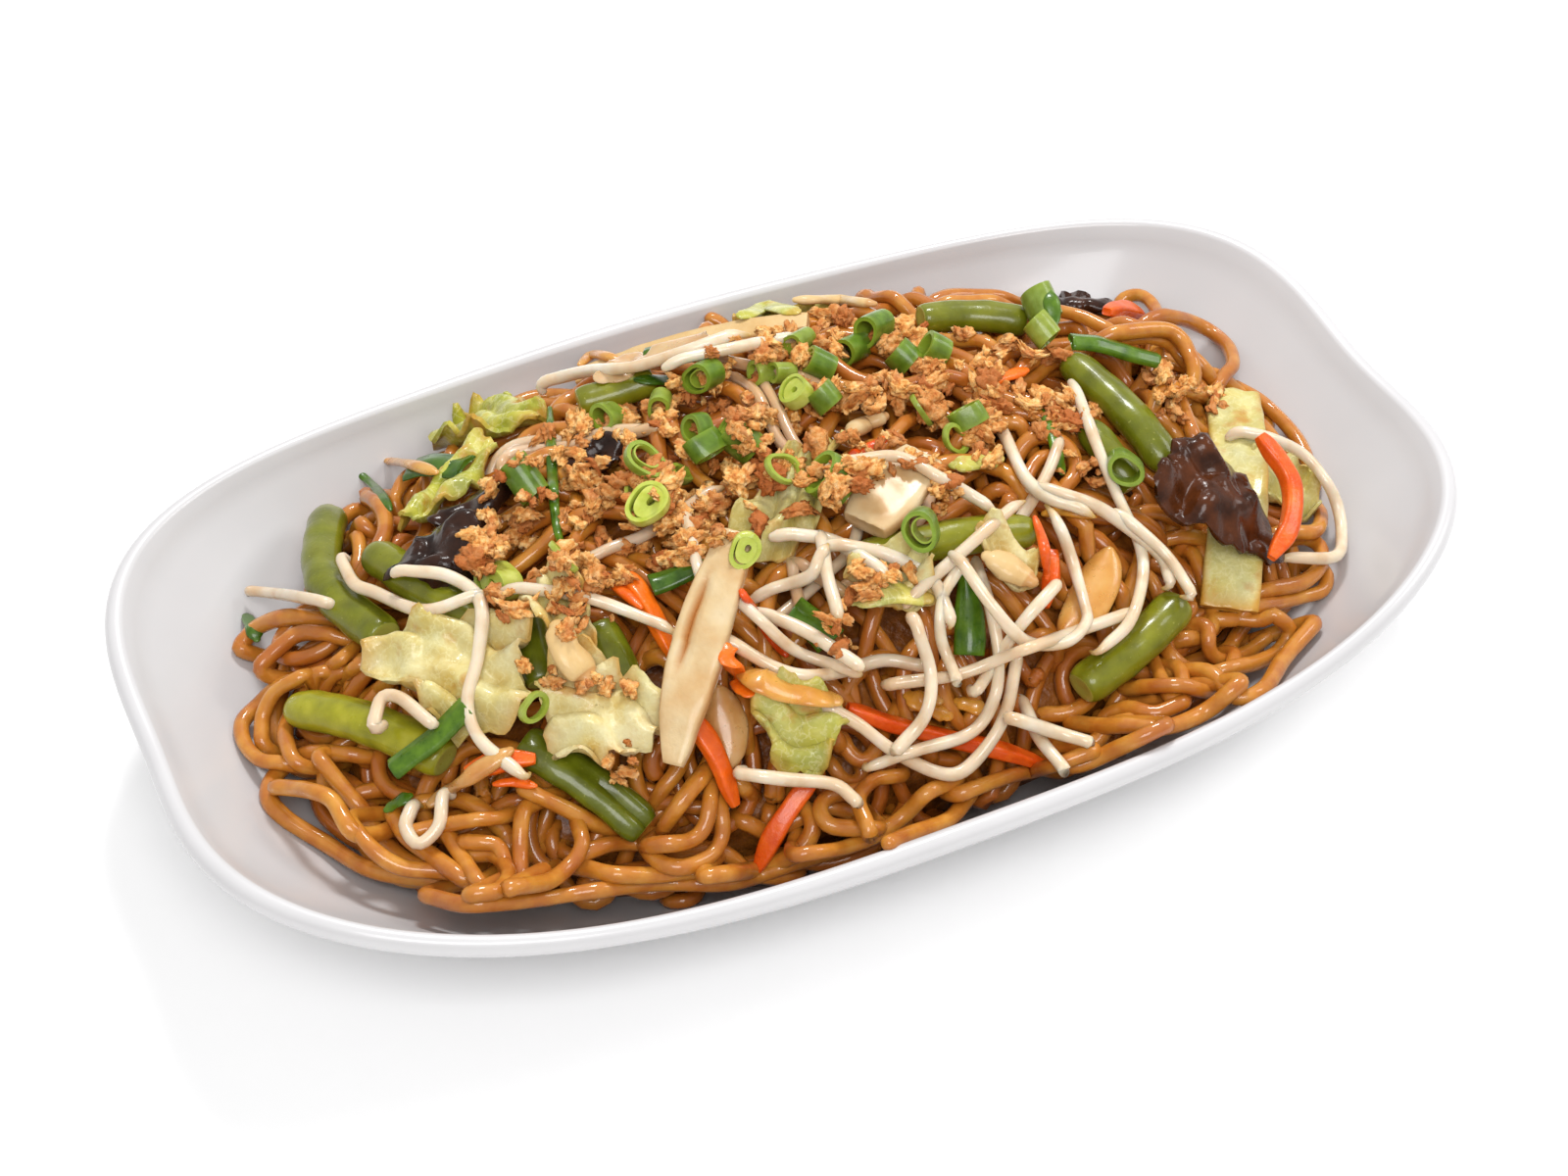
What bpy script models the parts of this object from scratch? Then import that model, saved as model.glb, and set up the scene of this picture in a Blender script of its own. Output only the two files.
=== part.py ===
"""Stir-fried noodles with vegetables, heaped on an oblong white platter, in metres.

+X runs along the platter and +Z is up. The origin is on the table, under the platter's middle.
The tables of toppings hold their places on the heap, in millimetres, seen from above.
"""

import math

import bmesh
import bpy
import numpy as np
from mathutils import Matrix, Vector, noise
from mathutils.bvhtree import BVHTree

MM = 0.001

# Platter: its rim's centre line is a rounded oblong whose height and reach swing in waves
RIM_HALF_LENGTH = 145 * MM
RIM_HALF_WIDTH = 89 * MM
RIM_POWER = 2.7
RIM_HEIGHT = 40 * MM
RIM_WAVES = {2: 3.0 * MM, 4: -1.4 * MM, 6: -1.4 * MM}
WAVE_SPREAD = 0.84
WALL_THICKNESS = 3.4 * MM
LIP_RADIUS = 2.4 * MM
LIP_STEPS = 4
FLOOR_MIDDLE = 3.3 * MM
FLOOR_SHARE = 0.55
WALL_POWER = 1.9
PLATTER_SIDES = 48
FOOT_SHARES = (0.52, 0.58)
OUTER_SHARES = (0.64, 0.74, 0.84, 0.93)
INNER_SHARES = (0.94, 0.87, 0.79, 0.71, 0.63, 0.5, 0.26)

# Heap: the surface that the eye sees, and the core that lies under the noodles
HEAP_CENTRE = (3 * MM, 7 * MM)
HEAP_HALF_LENGTH = 129 * MM
HEAP_HALF_WIDTH = 78 * MM
HEAP_POWER = 2.4
HEAP_EDGE = 17 * MM
HEAP_PEAK = 68 * MM
HEAP_ROUNDING = 0.66
HEAP_BUMP = 1.6 * MM
HEAP_BUMP_LENGTH = 24 * MM
CORE_DEPTH = 3.6 * MM
CORE_SHARE = 0.94
FLOOR_GAP = 1.6 * MM
CORE_LEAST = 2.6 * MM
CORE_SIDES = 40
CORE_RINGS = (0.17, 0.33, 0.48, 0.62, 0.74, 0.84, 0.92, 1.0)
CORE_BOTTOM_RINGS = (1.0, 0.8, 0.5)

# Strands and scraps that are fused to the core
SEED = 36
NOODLE_RADIUS = 2.05 * MM
NOODLE_LIFT = 1.5 * MM
NOODLES = 13
NOODLE_POINTS = 18
NOODLE_LEAST_POINTS = 11
NOODLE_SPACING = 19 * MM
NOODLE_TRIES = 400
SPROUT_RADIUS = 1.7 * MM
SPROUT_LIFT = 1.1 * MM
SPROUTS = 7
SPROUT_POINTS = 12
SPROUT_LEAST_POINTS = 5
SPROUT_STEP = 5 * MM
CRUMBS = 32
CRUMB_RADIUS = 2.7 * MM

GAP = 0.3 * MM
CUT_GAP = 0.45 * MM
STRAND_GAP = 1.2 * MM
RAISE_STEP = 0.5 * MM
RAISE_MOST = 16 * MM

# Colour, roughness
FINISHES = {
    "glaze_white": ((0.93, 0.93, 0.92), 0.22),
    "noodle": ((0.58, 0.30, 0.09), 0.30),
    "bean": ((0.19, 0.36, 0.06), 0.32),
    "ear": ((0.05, 0.03, 0.025), 0.20),
    "cabbage": ((0.72, 0.76, 0.38), 0.35),
    "stem": ((0.85, 0.80, 0.62), 0.35),
    "carrot": ((0.85, 0.22, 0.05), 0.35),
    "onion": ((0.85, 0.62, 0.30), 0.30),
    "leaf": ((0.06, 0.26, 0.04), 0.30),
    "scallion": ((0.24, 0.52, 0.08), 0.35),
}

# Rod: name, finish, width, thickness, sides, lift of its middle, path over the heap
LOW_RODS = (
    ("bean_bent", "bean", 9, 8, 8, 0, ((-89, 60), (-97, 38), (-98, 24), (-93, 5))),
    ("bean_left", "bean", 9, 8, 8, -1, ((-87, 29), (-81, 8), (-75, -9))),
    ("bean_front_left", "bean", 9.5, 8, 8, 0, ((-114, 6), (-102, -12), (-92, -28))),
    ("bean_front", "bean", 10, 6, 8, 0, ((-77, -34), (-68, -45), (-60, -56))),
    ("bean_mid", "bean", 9, 8, 8, -1, ((-55, -20), (-54, -31), (-54, -42))),
    ("bean_centre", "bean", 8.5, 7.5, 8, 1, ((1, -29), (20, -31), (39, -33))),
    ("bean_right", "bean", 9.5, 8.5, 8, 1, ((38, -61), (53, -57), (67, -51))),
    ("bean_back_a", "bean", 8.5, 7.5, 8, 0, ((74, 12), (77, -5), (80, -22))),
    ("bean_back_b", "bean", 7.5, 6.5, 8, -1, ((66, -10), (67, -18), (69, -26))),
    ("bean_far", "bean", 8, 7, 8, 0, ((49, 38), (60, 36), (72, 30))),
    ("bean_far_left", "bean", 8, 7, 8, 0, ((-33, 44), (-25, 43), (-16, 42))),
    ("bean_low", "bean", 7.5, 6.5, 8, -1, ((-66, -8), (-68, -17), (-69, -25))),
    ("strip_right", "cabbage", 13, 2.6, 6, 1, ((114, 4), (104, -14), (92, -34), (80, -52))),
    ("onion_front", "onion", 10, 3, 6, 0, ((-31, -43), (-23, -48), (-15, -52))),
    ("onion_low", "onion", 9, 3, 6, 0, ((-37, -41), (-38, -48), (-41, -54))),
    ("onion_right", "onion", 10, 3, 6, 0, ((56, -39), (47, -47), (38, -52))),
)
HIGH_RODS = (
    ("stem_front", "stem", 11, 4.5, 6, 3, ((-24, -23), (-38, -37), (-54, -54))),
    ("stem_mid", "stem", 12, 4, 6, 0, ((23, -14), (14, -19), (4, -25))),
    ("stem_far", "stem", 6, 3, 6, 0, ((-23, 72), (1, 61), (25, 48))),
    ("carrot_low", "carrot", 4.5, 3, 6, 0, ((-45, -46), (-43, -53), (-42, -61))),
    ("carrot_front", "carrot", 4.5, 3, 6, 0, ((-24, -60), (-32, -63), (-40, -67))),
    ("carrot_long", "carrot", 4.5, 3, 6, 0, ((-13, -53), (-6, -57), (10, -63), (26, -68))),
    ("carrot_left", "carrot", 5, 3, 6, 0, ((-90, -36), (-83, -38), (-77, -41))),
    ("carrot_mid", "carrot", 4.5, 3, 6, 1, ((-45, -14), (-44, -24), (-43, -34))),
    ("carrot_right", "carrot", 4.5, 3.5, 6, 1, ((100, -27), (103, -36), (98, -45), (90, -51))),
    ("carrot_mid_right", "carrot", 4, 3, 6, 0, ((43, -37), (40, -42), (36, -47))),
    ("carrot_far", "carrot", 4.5, 3.5, 6, 0, ((96, 33), (105, 39), (114, 44))),
    ("leaf_left", "leaf", 8, 2, 6, 0, ((-71, 52), (-67, 47), (-62, 40))),
    ("leaf_mid", "leaf", 6, 2.4, 6, 2, ((-42, -19), (-34, -20), (-26, -21))),
    ("leaf_centre", "leaf", 6.5, 2, 6, 1, ((21, -38), (19, -45), (16, -51))),
    ("leaf_square", "leaf", 8.5, 2, 6, 2, ((-17, -35), (-14, -39), (-12, -43))),
    ("leaf_low", "leaf", 5.5, 2.4, 6, 1, ((-103, -28), (-94, -28), (-86, -27))),
    ("chive_far", "leaf", 5, 3, 6, 1, ((75, 14), (85, 11), (95, 8))),
    ("leaf_far", "leaf", 5, 3, 6, 1, ((-16, 46), (-9, 42), (-3, 36))),
)

# Sheet: name, finish, place, turn in degrees, length, width, thickness, crumple
SHEETS = (
    ("ear_left_top", "ear", (-67, 23), 20, 19, 13, 2.0, 3.0),
    ("ear_left", "ear", (-76, 12), -15, 22, 15, 2.0, 3.0),
    ("ear_right", "ear", (84, -36), -35, 27, 22, 2.4, 4.5),
    ("ear_far", "ear", (98, 50), -20, 22, 14, 2.2, 3.5),
    ("ear_mid", "ear", (-37, 22), 20, 15, 11, 2.0, 2.0),
    ("cabbage_front_left", "cabbage", (-84, -16), -50, 36, 22, 1.6, 4.0),
    ("cabbage_front", "cabbage", (-62, -39), -40, 27, 18, 1.6, 4.0),
    ("cabbage_centre", "cabbage", (-6, -10), 33, 36, 15, 1.6, 3.5),
    ("cabbage_right", "cabbage", (112, -23), 15, 20, 14, 1.5, 3.0),
    ("cabbage_far", "cabbage", (28, 70), -10, 24, 12, 1.5, 2.5),
    ("leek_left", "cabbage", (-49, 62), -70, 30, 20, 2.4, 3.0),
    ("leek_left_low", "cabbage", (-66, 38), -150, 30, 11, 2.0, 1.5),
    ("leek_front", "cabbage", (-25, -56), -19, 18, 13, 2.2, 2.0),
    ("cabbage_mid", "cabbage", (4, -38), -9, 18, 11, 1.8, 3.5),
    ("cabbage_mid_right", "cabbage", (30, -41), -50, 14, 10, 1.6, 2.5),
    ("cabbage_pale", "cabbage", (-62, -18), -80, 19, 12, 1.6, 3.0),
)

SHEET_RINGS = ((0.55, 7), (1.0, 11))
SHEET_FOLD = 9 * MM

# Ring: name, place, tilt and turn in degrees, radius, length, lift of its middle
RINGS = (
    ("scallion_left", (-55, 19), 55, 200, 4.2, 9, 2),
    ("scallion_pale", (-34, 2), 25, 300, 5.0, 3, 2),
    ("scallion_low", (-69, -1), 60, 290, 4.4, 6, 2),
    ("scallion_top", (-10, 8), 50, 230, 4.6, 8, 2),
    ("scallion_front", (1, -15), 50, 250, 4.6, 7, 2),
    ("scallion_far", (74, 27), 60, 180, 4.2, 8, 2),
)

# Small rings fused to the heap: place, tilt, turn
SMALL_RINGS = (
    ((-30, 14), 30, 40),
    ((8, 19), 35, 120),
    ((28, 31), 60, 200),
    ((36, 21), 40, 80),
    ((40, -3), 50, 300),
    ((16, -27), 60, 250),
    ((83, -3), 55, 30),
    ((-72, -29), 50, 270),
)
SMALL_RING_RADIUS = 3.8 * MM
SMALL_RING_LENGTH = 4 * MM
RING_WALL = 1.1 * MM
RING_SIDES = 8


def clear_scene():
    for obj in list(bpy.data.objects):
        bpy.data.objects.remove(obj)


def new_collection(name):
    found = bpy.data.collections.new(name)
    bpy.context.scene.collection.children.link(found)
    return found


def finish_of(name):
    """The Principled material of this name, made on its first use."""
    material = bpy.data.materials.get(name)
    if material:
        return material
    colour, roughness = FINISHES[name]
    material = bpy.data.materials.new(name)
    material.use_nodes = True
    shader = material.node_tree.nodes["Principled BSDF"]
    shader.inputs["Base Color"].default_value = (*colour, 1)
    shader.inputs["Roughness"].default_value = roughness
    shader.inputs["Metallic"].default_value = 0
    return material


def link(name, data, collection, finish):
    obj = bpy.data.objects.new(name, data)
    collection.objects.link(obj)
    obj.data.materials.clear()
    obj.data.materials.append(finish_of(finish))
    return obj


def wave(angle):
    return sum(size * math.cos(count * angle) for count, size in RIM_WAVES.items())


def rim_reach(angle):
    """The rim's centre line, before its waves, in the direction of this angle."""
    across, along = math.cos(angle), math.sin(angle)
    reach = (abs(across) ** RIM_POWER + abs(along) ** RIM_POWER) ** (-1 / RIM_POWER)
    return Vector((RIM_HALF_LENGTH * across * reach, RIM_HALF_WIDTH * along * reach))


def wall_middle(share):
    """Height of the wall's middle and its slope, with no waves, at a share of the way out to the rim."""
    out = max(0.0, (share - FLOOR_SHARE) / (1 - FLOOR_SHARE))
    rise = RIM_HEIGHT - FLOOR_MIDDLE
    slope = rise * WALL_POWER * out ** (WALL_POWER - 1) / (1 - FLOOR_SHARE)
    return FLOOR_MIDDLE + rise * out**WALL_POWER, slope


def wave_share(height):
    return (height / RIM_HEIGHT) ** 2


def platter_point(angle, share, side, height=None):
    """A point of the platter's skin: side is 1 on its inner face, -1 on its outer face, 0 in between."""
    reach = rim_reach(angle)
    length = reach.length
    middle, slope = wall_middle(share)
    steep = math.hypot(length, slope)
    radius = share * length - side * WALL_THICKNESS / 2 * slope / steep
    level = middle + side * WALL_THICKNESS / 2 * length / steep
    if height is not None:
        level = height
    swing = wave(angle) * wave_share(middle)
    flat = reach * ((radius + WAVE_SPREAD * swing) / length)
    return Vector((flat.x, flat.y, level + (swing if height is None else 0)))


def lip_point(angle, turn):
    """A point round the rolled lip, from its inner side at turn 0 to its outer side at turn 1."""
    reach = rim_reach(angle)
    _, slope = wall_middle(1.0)
    inner = math.pi / 2 + math.atan2(slope, reach.length)
    around = inner - math.pi * turn
    swing = wave(angle)
    radius = reach.length + LIP_RADIUS * math.cos(around) + WAVE_SPREAD * swing
    flat = reach * (radius / reach.length)
    return Vector((flat.x, flat.y, RIM_HEIGHT + LIP_RADIUS * math.sin(around) + swing))


def platter_top(x, y, above=0.0):
    """Height over this place of the platter's inner face, or of what keeps a distance above it."""
    share = (
        abs(x / RIM_HALF_LENGTH) ** RIM_POWER + abs(y / RIM_HALF_WIDTH) ** RIM_POWER
    ) ** (1 / RIM_POWER)
    angle = math.atan2(y / RIM_HALF_WIDTH, x / RIM_HALF_LENGTH)
    length = rim_reach(angle).length
    inner = share
    for _ in range(3):
        middle, slope = wall_middle(inner)
        swing = wave(angle) * wave_share(middle)
        inner = share - WAVE_SPREAD * swing / length
    return middle + swing + (WALL_THICKNESS / 2 + above) * math.hypot(1, slope / length)


def skin(shell, rings, close_first, close_last):
    """Joins rings of points, each as long as the next, and shuts the ends with a fan about a middle point."""
    loops = [[shell.verts.new(point) for point in ring] for ring in rings]
    count = len(loops[0])
    for low, high in zip(loops, loops[1:]):
        for i in range(count):
            j = (i + 1) % count
            shell.faces.new((low[i], low[j], high[j], high[i]))
    for loop, middle, turn in ((loops[0], close_first, -1), (loops[-1], close_last, 1)):
        tip = shell.verts.new(middle)
        for i in range(count):
            shell.faces.new((loop[i], loop[(i + 1) % count], tip)[::turn])


def mesh_from(shell, name):
    bmesh.ops.triangulate(shell, faces=shell.faces[:])
    bmesh.ops.recalc_face_normals(shell, faces=shell.faces[:])
    mesh = bpy.data.meshes.new(name)
    shell.to_mesh(mesh)
    shell.free()
    mesh.shade_smooth()
    mesh.set_sharp_from_angle(angle=math.radians(40))
    return mesh


def build_platter(collection):
    angles = [math.tau * i / PLATTER_SIDES for i in range(PLATTER_SIDES)]
    recess = FLOOR_MIDDLE - WALL_THICKNESS / 2
    rings = [[platter_point(a, FOOT_SHARES[0] - 0.02, -1) for a in angles]]
    rings += [[platter_point(a, share, -1, height=0.0) for a in angles] for share in FOOT_SHARES]
    rings += [[platter_point(a, share, -1) for a in angles] for share in OUTER_SHARES]
    turns = [1 - i / LIP_STEPS for i in range(LIP_STEPS + 1)]
    rings += [[lip_point(a, turn) for a in angles] for turn in turns]
    rings += [[platter_point(a, share, 1) for a in angles] for share in INNER_SHARES]
    shell = bmesh.new()
    skin(shell, rings, (0, 0, recess), (0, 0, FLOOR_MIDDLE + WALL_THICKNESS / 2))
    return link("platter", mesh_from(shell, "platter"), collection, "glaze_white")


def heap_share(x, y):
    """How far out on the heap a place lies: 0 at its middle and 1 at its edge."""
    across = abs(x - HEAP_CENTRE[0]) / HEAP_HALF_LENGTH
    along = abs(y - HEAP_CENTRE[1]) / HEAP_HALF_WIDTH
    return (across**HEAP_POWER + along**HEAP_POWER) ** (1 / HEAP_POWER)


def heap_top(x, y):
    """Height of the heap's visible surface."""
    inside = max(0.0, 1 - heap_share(x, y) ** 2)
    dome = HEAP_EDGE + (HEAP_PEAK - HEAP_EDGE) * inside**HEAP_ROUNDING
    bump = HEAP_BUMP * noise.noise(Vector((x, y, 0)) / HEAP_BUMP_LENGTH)
    return max(dome + bump, platter_top(x, y, 2 * NOODLE_RADIUS))


def core_top(x, y):
    return max(heap_top(x, y) - CORE_DEPTH, platter_top(x, y, FLOOR_GAP + CORE_LEAST))


def build_core(collection):
    def flat(angle, share):
        reach = (abs(math.cos(angle)) ** HEAP_POWER + abs(math.sin(angle)) ** HEAP_POWER) ** (-1 / HEAP_POWER)
        x = HEAP_CENTRE[0] + HEAP_HALF_LENGTH * CORE_SHARE * share * reach * math.cos(angle)
        y = HEAP_CENTRE[1] + HEAP_HALF_WIDTH * CORE_SHARE * share * reach * math.sin(angle)
        return x, y

    angles = [math.tau * i / CORE_SIDES for i in range(CORE_SIDES)]
    bottom = [[flat(a, share) for a in angles] for share in reversed(CORE_BOTTOM_RINGS)]
    top = [[flat(a, share) for a in angles] for share in reversed(CORE_RINGS)]
    rings = [[(x, y, platter_top(x, y, FLOOR_GAP)) for x, y in ring] for ring in bottom]
    rings += [[(x, y, core_top(x, y)) for x, y in ring] for ring in top]
    x, y = HEAP_CENTRE
    shell = bmesh.new()
    skin(shell, rings, (x, y, platter_top(x, y, FLOOR_GAP)), (x, y, core_top(x, y)))
    return link("noodles", mesh_from(shell, "noodles"), collection, "noodle")


def smooth_path(points, count):
    """A path of count points, evenly spread, on a smooth curve through the given places on the plan."""
    points = [Vector(point) for point in points]
    ends = [2 * points[0] - points[1], *points, 2 * points[-1] - points[-2]]
    fine = []
    for a, b, c, d in zip(ends, ends[1:], ends[2:], ends[3:]):
        for t in np.linspace(0, 1, 12, endpoint=False):
            square = a * 2 - b * 5 + c * 4 - d
            cube = b * 3 - a - c * 3 + d
            fine.append((b * 2 + (c - a) * t + square * t**2 + cube * t**3) / 2)
    fine.append(points[-1])
    steps = np.cumsum([0.0] + [(two - one).length for one, two in zip(fine, fine[1:])])
    places = np.linspace(0, steps[-1], count)
    across = np.interp(places, steps, [place.x for place in fine])
    along = np.interp(places, steps, [place.y for place in fine])
    return list(zip(across, along))


def evaluated_mesh(obj):
    """The object's evaluated mesh, in world space, as a bmesh of triangles with outward normals."""
    bpy.context.view_layer.update()
    graph = bpy.context.evaluated_depsgraph_get()
    mesh = bpy.data.meshes.new_from_object(obj.evaluated_get(graph))
    found = bmesh.new()
    found.from_mesh(mesh)
    bpy.data.meshes.remove(mesh)
    found.transform(obj.matrix_world)
    bmesh.ops.remove_doubles(found, verts=found.verts[:], dist=1e-6)
    bmesh.ops.triangulate(found, faces=found.faces[:])
    bmesh.ops.recalc_face_normals(found, faces=found.faces[:])
    return found


def profile_curve(width, thickness, sides):
    """A hidden closed outline, rounded, which a swept piece takes as its section."""
    curve = bpy.data.curves.new("section", "CURVE")
    curve.dimensions = "2D"
    line = curve.splines.new("POLY")
    line.points.add(sides - 1)
    line.use_cyclic_u = True
    for i, point in enumerate(line.points):
        angle = math.tau * (i + 0.5) / sides
        point.co = (width / 2 * math.cos(angle), thickness / 2 * math.sin(angle), 0, 1)
    return bpy.data.objects.new("section", curve)


def swept(name, points, width, thickness, sides, collection, finish, tips=1.0):
    """A piece with one section along its path, drawn in at its tips, as a mesh with welded caps."""
    section = profile_curve(width, thickness, sides)
    curve = bpy.data.curves.new(name, "CURVE")
    curve.dimensions = "3D"
    curve.twist_mode = "Z_UP"
    curve.bevel_mode = "OBJECT"
    curve.bevel_object = section
    curve.use_fill_caps = True
    line = curve.splines.new("POLY")
    line.points.add(len(points) - 1)
    for i, (point, place) in enumerate(zip(line.points, points)):
        point.co = (*place, 1)
        point.radius = tips if i in (0, len(points) - 1) else 1.0
    route = bpy.data.objects.new(name, curve)
    collection.objects.link(route)
    shell = evaluated_mesh(route)
    bpy.data.objects.remove(route)
    bpy.data.objects.remove(section)
    return link(name, mesh_from(shell, name), collection, finish)


def rod(name, finish, width, thickness, sides, lift, path, collection):
    """A bean, stick or strip that lies along the heap's surface."""
    reach = sum(math.dist(a, b) for a, b in zip(path, path[1:]))
    flat = smooth_path([(x * MM, y * MM) for x, y in path], max(4, round(reach / 7)))
    points = [(x, y, heap_top(x, y) + lift * MM) for x, y in flat]
    return swept(name, points, width * MM, thickness * MM, sides, collection, finish, tips=0.86)


def sheet(name, finish, place, turn, length, width, thickness, crumple, collection):
    """A thin crumpled leaf: a disc of triangles, draped and waved, then given its thickness."""
    shell = bmesh.new()
    x, y = place[0] * MM, place[1] * MM
    tip = shell.verts.new((0, 0, 0))
    rings = []
    for share, count in SHEET_RINGS:
        row = []
        for i in range(count):
            angle = math.tau * (i + share) / count
            uneven = share * (1 + 0.14 * math.sin(3 * angle + x / MM) + 0.08 * math.sin(5 * angle + y / MM))
            across = length / 2 * MM * uneven * math.cos(angle)
            along = width / 2 * MM * uneven * math.sin(angle)
            row.append(shell.verts.new((across, along, 0)))
        rings.append(row)
    inner, outer = rings
    for i, vert in enumerate(inner):
        shell.faces.new((tip, vert, inner[(i + 1) % len(inner)]))
    a = b = 0
    while a < len(inner) or b < len(outer):
        one, two = inner[a % len(inner)], outer[b % len(outer)]
        if b * len(inner) <= a * len(outer):
            b += 1
            shell.faces.new((one, two, outer[b % len(outer)]))
        else:
            a += 1
            shell.faces.new((one, two, inner[a % len(inner)]))
    shell.transform(Matrix.Rotation(math.radians(turn), 4, "Z"))
    for vert in shell.verts:
        where = vert.co + Vector((x, y, 0))
        fold = 0.5 + noise.noise(where / SHEET_FOLD + Vector((0, 0, length)))
        vert.co.z = core_top(where.x, where.y) - core_top(x, y) + crumple * MM * max(0.0, fold)
    mesh = mesh_from(shell, name)
    obj = link(name, mesh, collection, finish)
    obj.location = (x, y, core_top(x, y) + thickness * MM / 2 + 2 * GAP)
    solid = obj.modifiers.new("thickness", "SOLIDIFY")
    solid.thickness = thickness * MM
    solid.offset = 0
    return obj


def ring(name, place, tilt, turn, radius, length, lift, collection, finish="scallion"):
    """A short hollow piece of stalk, turned from its wall's section."""
    shell = bmesh.new()
    inner = radius - RING_WALL
    corners = ((radius, length / 2), (radius, -length / 2), (inner, -length / 2), (inner, length / 2))
    loop = [shell.verts.new((r, 0, z)) for r, z in corners]
    for one, two in zip(loop, loop[1:] + loop[:1]):
        shell.edges.new((one, two))
    mesh = bpy.data.meshes.new(name)
    shell.to_mesh(mesh)
    shell.free()
    obj = link(name, mesh, collection, finish)
    screw = obj.modifiers.new("turn", "SCREW")
    screw.steps = screw.render_steps = RING_SIDES
    screw.use_merge_vertices = True
    screw.merge_threshold = 1e-5
    x, y = place[0] * MM, place[1] * MM
    obj.location = (x, y, heap_top(x, y) + lift)
    obj.rotation_euler = (math.radians(tilt), 0, math.radians(turn))
    return obj


def swollen(obj, by):
    """The object's mesh with every face moved out by a little."""
    shell = evaluated_mesh(obj)
    shell.normal_update()
    moved = [vert.co + vert.normal * by * min(vert.calc_shell_factor(), 2.5) for vert in shell.verts]
    for vert, place in zip(shell.verts, moved):
        vert.co = place
    return shell


def tree_of(shell):
    return BVHTree.FromBMesh(shell)


def lay_in_turn(toppings, platter):
    """Lifts each topping until it is clear of the platter and of those laid before it."""
    laid = [tree_of(evaluated_mesh(platter))]
    for obj in toppings:
        shell = swollen(obj, CUT_GAP)
        raised = 0.0
        while raised < RAISE_MOST and any(tree_of(shell).overlap(other) for other in laid):
            shell.transform(Matrix.Translation((0, 0, RAISE_STEP)))
            raised += RAISE_STEP
        obj.location.z += raised
        shell.free()
        laid.append(tree_of(evaluated_mesh(obj)))
    return laid[1:]


def biggest_shell(obj):
    """Keeps the object's largest body, which drops loose scraps and fills sealed hollows."""
    shell = bmesh.new()
    shell.from_mesh(obj.data)
    left = set(shell.verts)
    bodies = []
    while left:
        stack = [left.pop()]
        body = set(stack)
        while stack:
            for edge in stack.pop().link_edges:
                for vert in edge.verts:
                    if vert in left:
                        left.discard(vert)
                        body.add(vert)
                        stack.append(vert)
        bodies.append(body)
    keep = max(bodies, key=len)
    bmesh.ops.delete(shell, geom=[vert for vert in shell.verts if vert not in keep], context="VERTS")
    shell.to_mesh(obj.data)
    shell.free()


def combine(obj, others, operation, solver="EXACT"):
    """One Boolean of the object with every object of a collection, applied. The others are then removed."""
    for other in others.objects:
        other.hide_render = True
        other.display_type = "WIRE"
    modifier = obj.modifiers.new("combine", "BOOLEAN")
    modifier.operation = operation
    modifier.operand_type = "COLLECTION"
    modifier.collection = others
    modifier.solver = solver
    bpy.context.view_layer.update()
    graph = bpy.context.evaluated_depsgraph_get()
    mesh = bpy.data.meshes.new_from_object(obj.evaluated_get(graph))
    obj.modifiers.remove(modifier)
    obj.data = mesh
    for other in list(others.objects):
        bpy.data.objects.remove(other)
    bpy.data.collections.remove(others)
    shell = bmesh.new()
    shell.from_mesh(mesh)
    bmesh.ops.triangulate(shell, faces=shell.faces[:])
    shell.to_mesh(mesh)
    shell.free()
    biggest_shell(obj)


def longest_clear_run(points, radius, trees):
    """The longest stretch of a path whose points keep a strand's radius and a gap from every topping."""
    best, run = [], []
    for point in points:
        nearest = min(tree.find_nearest(point)[3] for tree in trees)
        run = run + [point] if nearest > radius + STRAND_GAP else []
        if len(run) > len(best):
            best = run
    return best


def strand_height(x, y, radius, over):
    """Where a strand's middle lies: sunk in the core's top, or on the platter outside it."""
    on_platter = platter_top(x, y, radius + FLOOR_GAP)
    if heap_share(x, y) > CORE_SHARE:
        return on_platter
    return max(core_top(x, y) + over, on_platter)


def strand_path(flat, radius, over, trees):
    """The stretch of a strand's path that is clear of the toppings, laid over the heap."""
    heights = [strand_height(x, y, radius, over) for x, y in flat]
    points = []
    for i, (x, y) in enumerate(flat):
        near = heights[max(0, i - 1) : i + 2]
        points.append(Vector((x, y, max(heights[i], sum(near) / len(near)))))
    return longest_clear_run(points, radius, trees)


def pulled_in(x, y, most):
    """The same place, or one nearer the heap's middle where it lies further out than a share."""
    share = heap_share(x, y)
    if share <= most:
        return x, y
    return (
        HEAP_CENTRE[0] + (x - HEAP_CENTRE[0]) * most / share,
        HEAP_CENTRE[1] + (y - HEAP_CENTRE[1]) * most / share,
    )


def noodle_flat(k, rng):
    """A looping run round the heap, seen from above. The golden angle spreads the runs evenly."""
    start = k * math.pi * (3 - math.sqrt(5)) - math.pi / 2
    outward = rng.uniform(0.55, 0.96)
    span = rng.uniform(0.4, 0.6) / outward
    loop = rng.uniform(5, 10) * MM
    turns = rng.uniform(0.7, 1.4)
    flat = []
    for t in np.linspace(0, 1, NOODLE_POINTS):
        angle = start + span * (t - 0.5)
        round_loop = math.tau * turns * t + k
        x = HEAP_CENTRE[0] + HEAP_HALF_LENGTH * outward * math.cos(angle) + loop * math.cos(round_loop)
        y = HEAP_CENTRE[1] + HEAP_HALF_WIDTH * outward * math.sin(angle) + loop * math.sin(round_loop)
        flat.append(pulled_in(x, y, 0.96))
    return flat


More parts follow.
